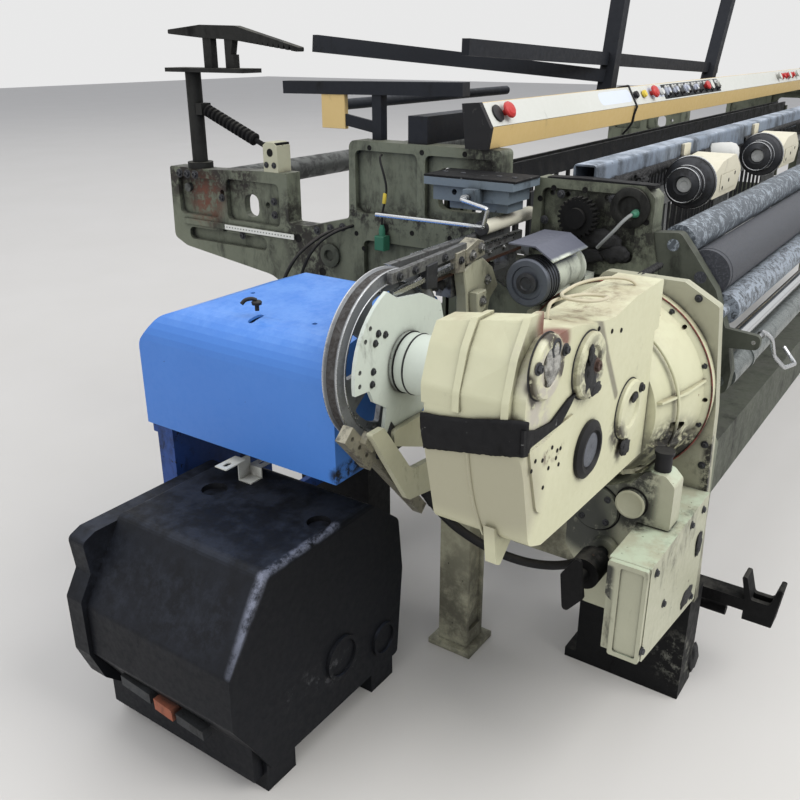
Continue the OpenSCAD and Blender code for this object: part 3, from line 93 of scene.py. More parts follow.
def add_camera():
    forward = Vector((cos(YAW) * cos(PITCH), sin(YAW) * cos(PITCH), -sin(PITCH)))
    right = Vector((sin(YAW), -cos(YAW), 0))
    up = right.cross(forward)
    x, y, z = CAMERA_AT
    view = Matrix((
        (right.x, up.x, -forward.x, x),
        (right.y, up.y, -forward.y, y),
        (right.z, up.z, -forward.z, z),
        (0, 0, 0, 1),
    ))
    data = bpy.data.cameras.new("camera")
    data.sensor_width = SENSOR_WIDTH
    data.lens = FOCAL
    data.clip_start = 0.02
    data.clip_end = 60
    camera = bpy.data.objects.new("camera", data)
    bpy.context.scene.collection.objects.link(camera)
    camera.matrix_world = view @ Matrix.Rotation(ROLL, 4, "Z")
    bpy.context.scene.camera = camera


add_camera()

# Pieces get their materials once the looks below are made
waiting = []


def piece(name, mesh, look, body="frame", smooth=35):
    thing = bpy.data.objects.new(name, mesh)
    bpy.context.scene.collection.objects.link(thing)
    for face in mesh.polygons:
        face.use_smooth = True
    if smooth is not None:
        mesh.set_sharp_from_angle(angle=radians(smooth))
    waiting.append((mesh, look))
    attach(thing, body)
    return thing


def mesh_of(name, verts, faces):
    mesh = bpy.data.meshes.new(name)
    mesh.from_pydata([tuple(v) for v in verts], [], faces)
    mesh.validate()
    work = bmesh.new()
    work.from_mesh(mesh)
    bmesh.ops.recalc_face_normals(work, faces=work.faces)
    work.to_mesh(mesh)
    work.free()
    return mesh


def flowing(points, steps):
    """Points on a smooth curve through the given ones."""
    out = []
    last = len(points) - 1
    for i in range(last):
        a = points[max(i - 1, 0)]
        b = points[i]
        c = points[i + 1]
        d = points[min(i + 2, last)]
        for k in range(steps):
            t = k / steps
            out.append(0.5 * (2 * b + (c - a) * t + (2 * a - 5 * b + 4 * c - d) * t * t
                              + (3 * b - a - 3 * c + d) * t ** 3))
    out.append(points[-1])
    return out


def frames_along(points):
    """A tangent and two cross directions at each point, without twist."""
    count = len(points)
    tangents = []
    for i in range(count):
        ahead = points[min(i + 1, count - 1)] - points[max(i - 1, 0)]
        tangents.append(ahead.normalized())
    side = tangents[0].cross(Vector((0.3, 0.2, 1))).normalized()
    out = []
    for t in tangents:
        side = (side - t * side.dot(t)).normalized()
        out.append((t, side, t.cross(side)))
    return out


def tube_parts(points, radius, sides=12, closed=False):
    """Points and faces of a round tube."""
    verts = []
    faces = []
    count = len(points)
    for point, (_, u, w) in zip(points, frames_along(points)):
        for k in range(sides):
            a = 2 * pi * k / sides
            verts.append(point + u * (radius * cos(a)) + w * (radius * sin(a)))
    rings = count if closed else count - 1
    for i in range(rings):
        j = (i + 1) % count
        for k in range(sides):
            n = (k + 1) % sides
            faces.append((i * sides + k, i * sides + n, j * sides + n, j * sides + k))
    if not closed:
        faces.append(tuple(range(sides - 1, -1, -1)))
        faces.append(tuple((count - 1) * sides + k for k in range(sides)))
    return verts, faces


def tube(name, points, radius, look, body="frame", sides=12, closed=False):
    verts, faces = tube_parts(points, radius, sides, closed)
    return piece(name, mesh_of(name, verts, faces), look, body)


def axis_frame(axis):
    w = Vector(axis).normalized()
    u = w.cross(Vector((0, 0, 1)) if abs(w.z) < 0.9 else Vector((1, 0, 0))).normalized()
    return u, w.cross(u), w


def lathe_parts(profile, place, axis, sides=48):
    """A profile of (radius, height) in millimetres, turned about an axis through a place."""
    u, v, w = axis_frame(axis)
    verts = []
    faces = []
    for r, h in profile:
        for k in range(sides):
            a = 2 * pi * k / sides
            verts.append(place + (u * cos(a) + v * sin(a)) * mm(max(r, 0.01)) + w * mm(h))
    for i in range(len(profile) - 1):
        for k in range(sides):
            n = (k + 1) % sides
            faces.append((i * sides + k, i * sides + n, (i + 1) * sides + n, (i + 1) * sides + k))
    faces.append(tuple(range(sides)))
    faces.append(tuple((len(profile) - 1) * sides + k for k in range(sides)))
    return verts, faces


def lathe(name, profile, place, axis, look, body="frame", sides=48):
    verts, faces = lathe_parts(profile, place, axis, sides)
    return piece(name, mesh_of(name, verts, faces), look, body)


def ring(name, place, radius, thick, axis, look, body="frame", sides=8, count=72):
    """A round wire that is bent into a closed ring about an axis through a place, in millimetres."""
    centre = at(*place)
    u, v, _ = axis_frame(axis)
    turns = [2 * pi * k / count for k in range(count)]
    points = [centre + (u * cos(turn) + v * sin(turn)) * mm(radius) for turn in turns]
    return tube(name, points, mm(thick), look, body, sides, True)


def group_of(name, parts, look, body="frame"):
    """Several (points, faces) lists as one piece."""
    verts = []
    faces = []
    for some, more in parts:
        base = len(verts)
        verts.extend(some)
        faces.extend(tuple(c + base for c in face) for face in more)
    return piece(name, mesh_of(name, verts, faces), look, body)


def on_x(x, pairs):
    """Places on the plane at one x, in millimetres, from pairs of y and z."""
    return [(x, y, z) for y, z in pairs]


def on_y(y, pairs):
    """Places on the plane at one y, in millimetres, from pairs of x and z."""
    return [(x, y, z) for x, z in pairs]


def bolts(name, places, axis, size, look="dark_steel", body="frame"):
    """Hexagon heads on washers, with chamfered tops and a socket's dimple."""
    washer = [(size * 1.5, -1), (size * 1.5, size * 0.2), (size * 1.2, size * 0.26)]
    head = [(size * 1.05, size * 0.2), (size * 1.05, size * 0.8), (size * 0.88, size * 0.95),
            (size * 0.5, size * 0.95), (size * 0.4, size * 0.7), (0.1, size * 0.7)]
    parts = []
    for place in places:
        parts.append(lathe_parts(washer, at(*place), axis, 20))
        parts.append(lathe_parts(head, at(*place), axis, 6))
    return group_of(name, parts, look, body)


def pits(name, places, axis, radius):
    """Drilled holes drawn as dark discs with a slightly raised worn lip; their dark is painted shade inside
    the holes.
    """
    lip = [(radius * 1.15, -0.5), (radius * 1.15, 0.3), (radius, 0.55), (radius * 0.86, 0.2), (0.1, 0.2)]
    return group_of(name, [lathe_parts(lip, at(*place), axis, 20) for place in places], "pit")


def slab_parts(outline, plane, low, high, chamfer):
    """An outline in two axes, made into a plate along the third one, with chamfered outer edges."""
    middle = (sum(p[0] for p in outline) / len(outline), sum(p[1] for p in outline) / len(outline))

    def put(a, b, c):
        return at(*{"X": (c, a, b), "Y": (a, c, b), "Z": (a, b, c)}[plane])

    def inside(p):
        d = hypot(p[0] - middle[0], p[1] - middle[1]) or 1
        return (p[0] - (p[0] - middle[0]) / d * chamfer, p[1] - (p[1] - middle[1]) / d * chamfer)

    shrunk = [inside(p) for p in outline]
    levels = [(shrunk, low), (outline, low + chamfer), (outline, high - chamfer), (shrunk, high)]
    verts = [put(p[0], p[1], c) for points, c in levels for p in points]
    n = len(outline)
    faces = [tuple(range(n)), tuple(3 * n + k for k in range(n))]
    for i in range(3):
        for k in range(n):
            faces.append((i * n + k, i * n + (k + 1) % n, (i + 1) * n + (k + 1) % n, (i + 1) * n + k))
    return verts, faces


def slab(name, outline, plane, low, high, look, chamfer):
    verts, faces = slab_parts(outline, plane, low, high, chamfer)
    return piece(name, mesh_of(name, verts, faces), look, smooth=30)


def rectangle(a0, a1, b0, b1):
    return [(a0, b0), (a1, b0), (a1, b1), (a0, b1)]


def cord(name, route, diameter, look, node=None, steps=4):
    """A hose or cable along a route in the loom's millimetres, both of whose ends are in the object."""
    points = flowing([at(*p) for p in route], steps)
    run = tube(name, points, mm(diameter) / 2, look, sides=12)
    if node is not None:
        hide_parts(node)
    return run


def relief(name, route, radius, length, look):
    """A tapered sleeve where a cord leaves a solid, along the start of its route."""
    start = at(*route[0])
    toward = (at(*route[1]) - start).normalized()
    profile = [(radius + 5, -4), (radius + 5, 6), (radius + 3.5, 8), (radius + 3, length * 0.5),
               (radius + 1.2, length), (radius + 0.4, length + 0.5)]
    return lathe(name, profile, start, toward, look, sides=24)


# The hose and the cable follow the routes of their solids
HOSE_ROUTE = [
    (-2326, -270, 520), (-2316, -280, 490), (-2304, -300, 460), (-2290, -330, 428), (-2272, -368, 398),
    (-2252, -410, 372), (-2230, -455, 352), (-2206, -500, 340), (-2180, -542, 336), (-2152, -578, 340),
    (-2124, -602, 350), (-2098, -612, 354), (-2070.3, -612, 354),
]
CABLE_ROUTE = [
    (-1900.3, -562, 1140), (-1916, -562, 1140), (-1930, -560, 1140), (-1942, -556, 1136), (-1953, -547, 1125),
    (-1960, -535, 1108), (-1962, -520, 1090), (-1958, -505, 1074), (-1950, -492, 1060),
]
hose_sleeve = relief("hose_sleeve", HOSE_ROUTE, 11, 38, "hose")
hose_nut = lathe("hose_nut", [(17, 0), (19, 3), (19, 13), (15, 16), (13, 17)], at(-2070, -612, 354), LEFT,
                 "dark_steel", sides=6)
cord("drive_hose_run", HOSE_ROUTE, 22, "hose", "drive_hose")
cable_plug = lathe("cable_plug", [(9, 0), (9.5, 2), (9.5, 16), (8, 18), (8, 26), (6.5, 30), (4.6, 34)],
                   at(-1900, -562, 1140), LEFT, "green", sides=16)
cord("sensor_cable_run", CABLE_ROUTE, 8, "cable", "sensor_cable")


# Colours
def rgb(r, g, b):
    """A colour on the screen's scale of 0 to 255, as Blender's linear colour."""
    def linear(c):
        c = c / 255
        return c / 12.92 if c <= 0.04045 else ((c + 0.055) / 1.055) ** 2.4

    return (linear(r), linear(g), linear(b), 1.0)


class Look:
    """A procedural material that is put together from a few kinds of nodes."""

    def __init__(self, name):
        self.material = bpy.data.materials.new(name)
        self.material.use_nodes = True
        self.tree = self.material.node_tree
        self.tree.nodes.clear()
        output = self.add("OutputMaterial")
        self.shader = self.add("BsdfPrincipled")
        self.link(self.shader.outputs[0], output.inputs[0])
        self.place = self.add("TexCoord")

    def link(self, a, b):
        self.tree.links.new(a, b)

    def put(self, value, socket):
        if isinstance(value, bpy.types.NodeSocket):
            self.link(value, socket)
        else:
            socket.default_value = value

    def add(self, kind, inputs=None, **settings):
        """A node of one kind. Its settings are made first, then its inputs, each a value or a link."""
        node = self.tree.nodes.new("ShaderNode" + kind)
        for setting, value in settings.items():
            setattr(node, setting, value)
        for name, value in (inputs or {}).items():
            self.put(value, node.inputs[name])
        return node

    def noise(self, scale, detail=5, rough=0.6, stretch=(1, 1, 1), warp=0.0, shift=(0, 0, 0)):
        place = self.add("Mapping", {
            "Scale": stretch, "Location": shift, "Vector": self.place.outputs["Object"],
        })
        node = self.add("TexNoise", {
            "Scale": scale, "Detail": detail, "Roughness": rough, "Distortion": warp,
            "Vector": place.outputs[0],
        })
        return node.outputs["Fac"]

    def step(self, value, low, high, to_low=0.0, to_high=1.0):
        """A smooth step, from to_low where the value is low to to_high where it is high."""
        limits = {"Value": value, "From Min": low, "From Max": high, "To Min": to_low, "To Max": to_high}
        return self.add("MapRange", limits, interpolation_type="SMOOTHSTEP").outputs[0]

    def math(self, kind, a, b=0.0):
        return self.add("Math", {0: a, 1: b}, operation=kind).outputs[0]

    def times(self, a, b):
        return self.math("MULTIPLY", a, b)

    def most(self, a, b):
        return self.math("MAXIMUM", a, b)

    def vector(self, kind, a, b, output=0):
        return self.add("VectorMath", {0: a, 1: b}, operation=kind).outputs[output]

    def mix(self, share, a, b):
        """A mix of two colours, each a link or three numbers on the screen's scale."""
        a, b = (rgb(*colour) if isinstance(colour, tuple) else colour for colour in (a, b))
        return self.add("Mix", {"Factor": share, "A": a, "B": b}, data_type="RGBA").outputs["Result"]

    def along(self, output, axis, low, high):
        """0 below low and 1 above high in one part of the place, in metres, or of the normal."""
        split = self.add("SeparateXYZ", {0: self.place.outputs[output]})
        return self.step(split.outputs[axis], low, high)

    def facing_up(self, low=0.4, high=0.9):
        return self.along("Normal", "Z", low, high)

    def near(self, point, inner, outer):
        """1 within the inner distance of a point and 0 past the outer one."""
        gap = self.vector("DISTANCE", self.place.outputs["Object"], point, "Value")
        return self.step(gap, inner, outer, 1.0, 0.0)

    def line(self, a, b, inner, outer):
        """1 within the inner distance of a straight line between two points and 0 past the outer one."""
        run = b - a
        from_a = self.vector("SUBTRACT", self.place.outputs["Object"], a)
        along = self.vector("DOT_PRODUCT", from_a, run / run.length_squared, "Value")
        share = self.add("Clamp", {0: along}).outputs[0]
        foot = self.add("VectorMath", {0: run, "Scale": share}, operation="SCALE").outputs[0]
        return self.step(self.vector("DISTANCE", from_a, foot, "Value"), inner, outer, 1.0, 0.0)

    # Painted shade: a mask that is 1 where ambient occlusion finds nearby surfaces, in hollows and corners
    def crevice(self, distance=0.04, low=0.35, high=0.85):
        shade = self.add("AmbientOcclusion", {"Distance": distance}, samples=4)
        return self.step(shade.outputs["AO"], low, high, 1.0, 0.0)

    def bump(self, height, strength=0.3, depth=0.001, under=None):
        node = self.add("Bump", {"Strength": strength, "Distance": depth, "Height": height})
        if under is not None:
            self.link(under, node.inputs["Normal"])
        return node.outputs[0]

    def done(self, colour, rough, metal=0.0, normal=None):
        for name, value in (
            ("Base Color", colour), ("Roughness", rough), ("Metallic", metal), ("Normal", normal),
        ):
            if value is not None:
                self.put(value, self.shader.inputs[name])
        return self.material


def paint(name, base, second, dirt_and_shade, dirt_low=0.55, dirt_high=0.68, gloss=0.42, dents=0.35,
          crevice_share=0.75, dust=None, dust_share=0.5, low_dirt=None, spots=0.66, spot_colour=None,
          patches=(), seam=0.5, shine=0.4):
    """Worn paint over castings or sheet: uneven tone, grime and painted shade in corners, stains, chips and
    dust on top.
    """
    look = Look(name)
    tone = look.mix(look.noise(3.0, 4), base, second)
    fine = look.noise(60, 6, 0.7)
    tone = look.mix(look.step(fine, 0.35, 0.75, 0.0, 0.18), tone, second)
    runs = look.noise(11, 8, 0.72, stretch=(1, 1, 0.45), warp=0.25)
    stain = look.step(runs, dirt_low, dirt_high + 0.06)
    if low_dirt is not None:
        near_floor = look.along("Object", "Z", low_dirt[1], low_dirt[0])
        splashed = look.times(near_floor, look.step(look.noise(9, 6, 0.7), 0.30, 0.62))
        stain = look.most(stain, splashed)
    # Painted shade: ambient occlusion darkens the corners, together with the grime
    corner = look.times(look.crevice(), crevice_share)
    grime_and_shade = look.most(look.times(stain, 0.8), look.times(corner, look.step(look.noise(22, 5), 0.25, 0.6)))
    colour = look.mix(grime_and_shade, tone, dirt_and_shade)
    if dust is not None:
        top = look.times(look.facing_up(), look.step(look.noise(12, 6, 0.7), 0.38, 0.62, 0.0, dust_share))
        colour = look.mix(top, colour, dust)
    # Dark oil and painted shade in the narrow joints and at the feet of ribs, where a short ambient occlusion
    # darkens them
    oily = look.step(look.noise(40, 5, 0.7), 0.3, 0.5, 0.0, seam)
    joint = look.times(look.crevice(0.012, 0.45, 0.8), oily)
    colour = look.mix(joint, colour, dirt_and_shade)
    chips = look.step(look.noise(70, 3, 0.5, shift=(3, 1, 2)), spots, spots + 0.02)
    colour = look.mix(look.times(chips, 0.85), colour, spot_colour or dirt_and_shade)
    # Each patch is a colour round one place or along a line between two, broken up by noise
    for shade, places, inner, outer, low, high in patches:
        ends = [at(*place) for place in places]
        reach = (look.line if len(ends) == 2 else look.near)(*ends, mm(inner), mm(outer))
        broken = look.step(look.noise(34, 7, 0.75, shift=(1, 5, 2)), low, high)
        colour = look.mix(look.times(reach, broken), colour, shade)
    rough = look.step(look.most(grime_and_shade, fine), 0.2, 0.9, gloss, gloss + 0.28)
    normal = look.bump(fine, dents, 0.0006, look.bump(look.noise(9, 3), dents, 0.004))
    look.put(shine, look.shader.inputs["Specular IOR Level"])
    return look.done(colour, rough, 0.0, normal)


def metal(name, base, dark, gloss=0.3, stain_low=0.5, stain_high=0.65, grain=(1, 1, 1), share=0.8, shine=1.0):
    """Bare or plated metal with stains and fine machining marks."""
    look = Look(name)
    stain = look.step(look.noise(26, 6, 0.7), stain_low, stain_high, 0.0, share)
    marks = look.noise(220, 3, 0.6, stretch=grain)
    colour = look.mix(stain, base, dark)
    rough = look.math("ADD", look.step(marks, 0.3, 0.7, gloss, gloss + 0.14), look.times(stain, 0.35))
    metallic = look.math("SUBTRACT", shine, look.times(stain, 0.7))
    return look.done(colour, rough, metallic, look.bump(marks, 0.12, 0.0003))


def moulded(name, base, dust, gloss, dust_share, grain, scratches):
    """Moulded plastic with fine grain, light scratches and dust."""
    look = Look(name)
    grainy = look.noise(grain, 3, 0.6)
    look.put(0.25, look.shader.inputs["Specular IOR Level"])
    lines = look.step(look.noise(40, 3, 0.5, stretch=(0.15, 1, 1), warp=1.5), 0.66, 0.70, 0.0, scratches)
    film = look.times(
        look.facing_up(0.2, 0.95), look.step(look.noise(7, 6, 0.7), 0.35, 0.65, 0.1, dust_share)
    )
    colour = look.mix(look.most(lines, film), base, dust)
    rough = look.step(look.noise(16, 5), 0.3, 0.7, gloss, gloss + 0.2)
    return look.done(colour, rough, 0.0, look.bump(grainy, 0.15, 0.0003))


def linty(name, base, lint, low, high, gloss, scale):
    """A dark surface that carries felted patches of lint."""
    look = Look(name)
    tufts = look.noise(scale, 8, 0.75, warp=0.8)
    patch = look.step(tufts, low, high)
    fibre = look.noise(260, 4, 0.8)
    shade = look.mix(look.step(fibre, 0.3, 0.7, 0.0, 0.45), lint, base)
    colour = look.mix(patch, base, shade)
    normal = look.bump(fibre, 0.4, 0.0008, look.bump(patch, 0.6, 0.002))
    return look.done(colour, look.step(patch, 0, 1, gloss - 0.25, gloss), 0.0, normal)


CREAM = (198, 196, 166)
RUST = (96, 62, 42)
GREASE = (70, 66, 56)
FELT = (170, 164, 150)
CAP_A = (-2764, -755, 1068)
CAP_B = (-2602, -755, 1014)

LOOKS = {
    "drive": paint(
        "drive_cream", CREAM, (180, 178, 146), (62, 54, 42), 0.6, 0.7, 0.34, 0.35, seam=0.85,
        dust=(150, 134, 108), dust_share=0.4, spots=0.76, spot_colour=RUST, patches=(
            ((116, 78, 64), ((-2724, -742, 1120), (-2700, -748, 1086)), 14, 36, 0.28, 0.46),
            (FELT, ((-2770, -752, 1030), (-2770, -752, 975)), 20, 50, 0.38, 0.56),
            # Painted shade: the sloped lower part of the nose, below the joint, is darker as a whole
            ((162, 158, 134), ((-2836, -590, 860), (-2836, -700, 860)), 75, 125, -0.2, 0.0),
            ((104, 96, 78), ((-2836, -655, 905), (-2800, -668, 770)), 2, 12, 0.4, 0.62),
            ((88, 62, 44), ((-2826, -690, 860), (-2816, -700, 820)), 4, 20, 0.42, 0.56),
            (GREASE, (CAP_B,), 30, 75, 0.42, 0.58),
            (FELT, (CAP_A,), 20, 70, 0.46, 0.6),
            ((122, 118, 100), ((-2562, -750, 1092), (-2519, -750, 1022)), 4, 14, 0.1, 0.4),
            ((122, 118, 100), ((-2519, -750, 1022), (-2449, -750, 917)), 4, 12, 0.2, 0.45),
            ((34, 32, 28), ((-2130, -770, 690), (-2230, -800, 720)), 40, 100, 0.38, 0.52),
            ((60, 54, 44), ((-2764, -752, 1110), (-2712, -752, 1040)), 12, 22, 0.42, 0.5),
            ((60, 54, 44), ((-2812, -752, 1060), (-2790, -752, 1018)), 4, 14, 0.4, 0.5),
            ((70, 64, 52), ((-2700, -640, 1110), (-2640, -660, 1100)), 10, 40, 0.46, 0.56),
            (GREASE, ((-2440, -750, 840), (-2400, -750, 790)), 10, 35, 0.4, 0.55),
            ((130, 118, 94), ((-2600, -700, 1090), (-2350, -690, 1085)), 20, 60, 0.44, 0.66),
            ((110, 100, 84), ((-2740, -754, 912), (-2690, -754, 905)), 5, 20, 0.46, 0.58),
        )
    ),
    "gearbox": paint(
        "gearbox_green", (176, 175, 152), (152, 152, 130), (42, 40, 33), 0.54, 0.66, 0.36, 0.35, seam=0.95,
        dust=(180, 192, 168), dust_share=0.8, spots=0.72, spot_colour=(60, 50, 38), patches=(
            ((58, 60, 54), ((-2300, -640, 620), (-2300, -650, 540)), 50, 90, 0.2, 0.45),
            ((92, 94, 82), ((-2300, -740, 620), (-2260, -740, 660)), 34, 70, 0.3, 0.5),
            ((48, 48, 42), ((-2452, -772, 560), (-2452, -772, 360)), 4, 16, 0.36, 0.5),
            ((48, 48, 42), ((-2290, -760, 690), (-2290, -760, 590)), 20, 50, 0.42, 0.55),
        )
    ),
    "plate": paint(
        "plate_green", (170, 168, 146), (144, 143, 122), (40, 38, 31), 0.54, 0.66, 0.4, 0.3, seam=0.95,
        spots=0.74, spot_colour=RUST, low_dirt=(0.25, 0.75),
        patches=(((40, 38, 34), ((-2070, -836, 700), (-2070, -844, 420)), 6, 20, 0.4, 0.52),)
    ),
    "guard": paint(
        "guard_cream", (200, 207, 196), (176, 182, 172), (62, 60, 54), 0.54, 0.68, 0.38, 0.3, seam=0.95,
        spots=0.74, spot_colour=(60, 50, 38)
    ),
    "frame": paint(
        "frame_green", (118, 122, 104), (86, 90, 76), (24, 24, 21), 0.46, 0.62, 0.45, 0.45, seam=0.95,
        shine=0.3, crevice_share=0.95, dust=(112, 112, 100), dust_share=0.5, low_dirt=(0.3, 0.8), spots=0.75,
        patches=(
            ((40, 36, 32), ((-1900, 960, 1100), (-1900, 700, 1120)), 30, 120, 0.4, 0.56),
            ((32, 30, 27), ((-1900, 420, 900), (-1900, 440, 1000)), 40, 140, 0.38, 0.56),
            ((30, 29, 26), ((-1900, -190, 1100), (-1900, -150, 1240)), 20, 90, 0.4, 0.56),
            ((34, 32, 29), ((-1900, 260, 1060), (-1900, -180, 1040)), 10, 60, 0.46, 0.6),
            ((28, 27, 25), ((-1900, -440, 1090),), 50, 160, 0.4, 0.56),
            ((96, 58, 44), ((-1900, 860, 1040),), 30, 110, 0.4, 0.6),
            ((36, 34, 30), ((-1900, 460, 1020),), 30, 120, 0.42, 0.58),
            ((30, 29, 26), ((-1900, -560, 1080), (-1900, -300, 1010)), 20, 80, 0.44, 0.58),
        )
    ),
    "grimy": paint(
        "grimy_green", (84, 87, 76), (62, 65, 57), (26, 26, 23), 0.46, 0.66, 0.5, 0.6, shine=0.2,
        crevice_share=1.0, dust=(80, 80, 74), dust_share=0.6, spots=0.74
    ),
    "post": paint(
        "post_iron", (48, 48, 45), (32, 32, 31), (14, 14, 13), 0.46, 0.6, 0.6, 0.6, shine=0.15,
        dust=(96, 94, 84), dust_share=0.5, spots=0.74
    ),
    "leg": paint(
        "leg_cream", (188, 186, 160), (160, 158, 134), (46, 42, 36), 0.56, 0.68, 0.5, 0.3,
        low_dirt=(0.1, 0.6), spots=0.74
    ),
    "blue": paint(
        "cover_blue", (74, 128, 202), (60, 112, 188), (34, 44, 66), 0.68, 0.76, 0.34, 0.12, crevice_share=0.5,
        dust=(116, 160, 218), dust_share=0.3, spots=0.77, spot_colour=(38, 62, 110), patches=(
            ((20, 22, 28), ((-2560, -198, 640), (-2380, -198, 650)), 10, 30, 0.42, 0.56),
            ((24, 26, 32), ((-2350, -198, 690),), 20, 90, 0.46, 0.6),
            ((20, 26, 40), ((-2560, 20, 957), (-2520, 60, 957)), 2, 5, 0.3, 0.5),
        )
    ),
    "blue_dark": paint("stand_blue", (36, 74, 142), (28, 58, 116), (14, 18, 28), 0.52, 0.64, 0.5, 0.3),
    "black_box": paint(
        "floor_black", (15, 16, 19), (20, 22, 27), (9, 9, 10), 0.6, 0.75, 0.4, 0.25, shine=0.14,
        dust=(48, 53, 64), dust_share=0.5, spots=0.78, patches=(
            # Painted highlight, with some wear: pale lines along the front-left edge and the top front edge
            ((128, 132, 146), ((-2820, -208, 536), (-2944, -208, 372)), 3, 20, 0.3, 0.62),
            ((110, 114, 128), ((-2820, -208, 536), (-2590, -208, 537)), 3, 16, 0.4, 0.62),
            ((66, 66, 68), ((-2760, -216, 200), (-2560, -216, 160)), 10, 50, 0.52, 0.66),
            ((34, 37, 44), ((-2900, 180, 440), (-2900, -100, 440)), 30, 140, 0.4, 0.7),
        )
    ),
    "black_part": moulded("black_moulding", (24, 24, 26), (80, 78, 74), 0.45, 0.3, 200, 0.3),
    "plug": moulded("plug_rubber", (20, 20, 21), (64, 64, 62), 0.5, 0.2, 120, 0.2),
    "black_iron": paint(
        "black_iron", (18, 18, 18), (12, 12, 13), (7, 7, 7), 0.5, 0.6, 0.55, 0.6, shine=0.15,
        dust=(80, 78, 72), dust_share=0.5, spots=0.74, spot_colour=(70, 54, 42)
    ),
    "foot": paint(
        "foot_black", (15, 16, 17), (10, 10, 11), (6, 6, 6), 0.5, 0.6, 0.5, 0.6, shine=0.15,
        dust=(70, 68, 62), dust_share=0.4, spots=0.75, spot_colour=(72, 70, 64),
        patches=(((96, 96, 88), ((-2070, -845, 120), (-1980, -845, 60)), 20, 100, 0.5, 0.62),)
    ),
    "slate": paint(
        "slate_bar", (32, 35, 41), (20, 22, 27), (9, 9, 10), 0.56, 0.66, 0.45, 0.2, shine=0.2,
        dust=(70, 74, 80), dust_share=0.4, spots=0.75
    ),
    "unit": paint(
        "unit_grey", (112, 123, 130), (86, 96, 104), (26, 28, 30), 0.54, 0.68, 0.4, 0.2, seam=0.9, shine=0.3,
        dust=(70, 74, 80), dust_share=0.7, spots=0.75
    ),
    "white_beam": paint(
        "beam_white", (130, 140, 152), (94, 104, 116), (34, 36, 38), 0.44, 0.6, 0.5, 0.3, seam=0.95,
        dust=(168, 176, 186), dust_share=0.7, spots=0.7
    ),
    "panel": paint(
        "panel_white", (196, 196, 189), (184, 184, 174), (86, 80, 70), 0.64, 0.76, 0.34, 0.05,
        crevice_share=0.4, spots=0.77, patches=(
            ((168, 172, 182), ((-760, -157, 1338), (-120, -157, 1338)), 18, 20, 0.0, 0.1),
            ((196, 202, 214), ((-1180, -157, 1338), (-960, -157, 1338)), 20, 22, 0.0, 0.1),
        )
    ),
    "tan": paint(
        "panel_tan", (208, 180, 122), (194, 166, 106), (80, 66, 44), 0.62, 0.74, 0.36, 0.08,
        crevice_share=0.5, spots=0.76
    ),
    "steel": metal("steel", (150, 150, 148), (48, 44, 40), 0.28),
    "clamp": metal("clamp_steel", (150, 146, 130), (52, 46, 38), 0.34, 0.46, 0.62, shine=0.6),
    "rail": metal("rail_steel", (116, 117, 116), (36, 33, 31), 0.3, 0.46, 0.62, share=0.9, shine=0.7),
    "brass": metal("brown_strip", (74, 52, 42), (34, 26, 22), 0.4, 0.44, 0.62, shine=0.4),
    "wheel": metal("wheel_steel", (128, 130, 132), (44, 42, 40), 0.4, 0.5, 0.72, share=0.6, shine=0.55),
    "rim": metal("worn_rim", (186, 188, 190), (70, 66, 60), 0.2, 0.56, 0.72, share=0.7),
    "dark_steel": metal("dark_steel", (66, 67, 70), (22, 21, 20), 0.36, 0.46, 0.64, shine=0.8),
    "pulley": metal("pulley_steel", (92, 96, 104), (26, 26, 27), 0.34, 0.52, 0.7, share=0.6, shine=0.7),
    "chrome": metal("chrome_tube", (206, 208, 210), (90, 88, 84), 0.08, 0.6, 0.74, share=0.5),
    "guide": metal("guide_bar", (120, 126, 124), (46, 48, 48), 0.24, 0.46, 0.62, share=0.6, shine=0.8),
    "roller": linty("press_roller", (58, 62, 66), (146, 154, 162), 0.42, 0.52, 0.85, 64),
    "roller_dark": linty("take_up_roller", (46, 48, 54), (92, 96, 104), 0.48, 0.7, 0.8, 160),
    "roller_white": linty("spreader_roller", (68, 74, 80), (156, 164, 170), 0.47, 0.6, 0.85, 56),
    "whip": metal("whip_roll", (90, 92, 90), (30, 30, 28), 0.36, 0.42, 0.6, shine=0.8),
    "aluminium": metal("aluminium", (150, 152, 152), (56, 54, 50), 0.34, 0.5, 0.66, share=0.7),
    "heald": metal("heald_steel", (48, 49, 51), (20, 19, 18), 0.45, 0.44, 0.62, shine=0.6),
    "feeder": paint(
        "feeder_cream", (206, 200, 180), (190, 184, 160), (60, 54, 44), 0.58, 0.7, 0.36, 0.1, seam=0.9,
        spots=0.76
    ),
    "pipe": paint(
        "pipe_cream", (212, 208, 190), (192, 188, 168), (90, 80, 66), 0.6, 0.72, 0.36, 0.1, spots=0.76
    ),
    "hose": moulded("hose_black", (20, 20, 21), (74, 70, 64), 0.5, 0.4, 120, 0.2),
    "cable": moulded("cable_grey", (128, 130, 128), (66, 64, 60), 0.5, 0.3, 200, 0.2),
    "loop": moulded("cable_cream", (186, 178, 152), (96, 86, 70), 0.5, 0.4, 200, 0.2),
    "white": moulded("white_plastic", (192, 192, 187), (150, 146, 136), 0.4, 0.3, 200, 0.2),
    "red": moulded("red_plastic", (176, 48, 46), (150, 110, 104), 0.34, 0.25, 220, 0.1),
    "yellow": moulded("yellow_plastic", (206, 182, 70), (140, 120, 80), 0.34, 0.2, 220, 0.1),
    "green": moulded("green_plastic", (50, 104, 82), (60, 66, 58), 0.45, 0.5, 200, 0.2),
    "pit": moulded("pit_black", (14, 13, 13), (30, 28, 26), 0.7, 0.2, 200, 0.1),
    "gasket": paint(
        "gasket_black", (20, 20, 22), (14, 14, 16), (8, 8, 9), 0.5, 0.62, 0.55, 0.4, shine=0.2, spots=0.7,
        spot_colour=(108, 108, 106)
    ),
    "lint_dark": linty("lint_dark", (16, 16, 17), (44, 44, 46), 0.4, 0.7, 0.95, 60),
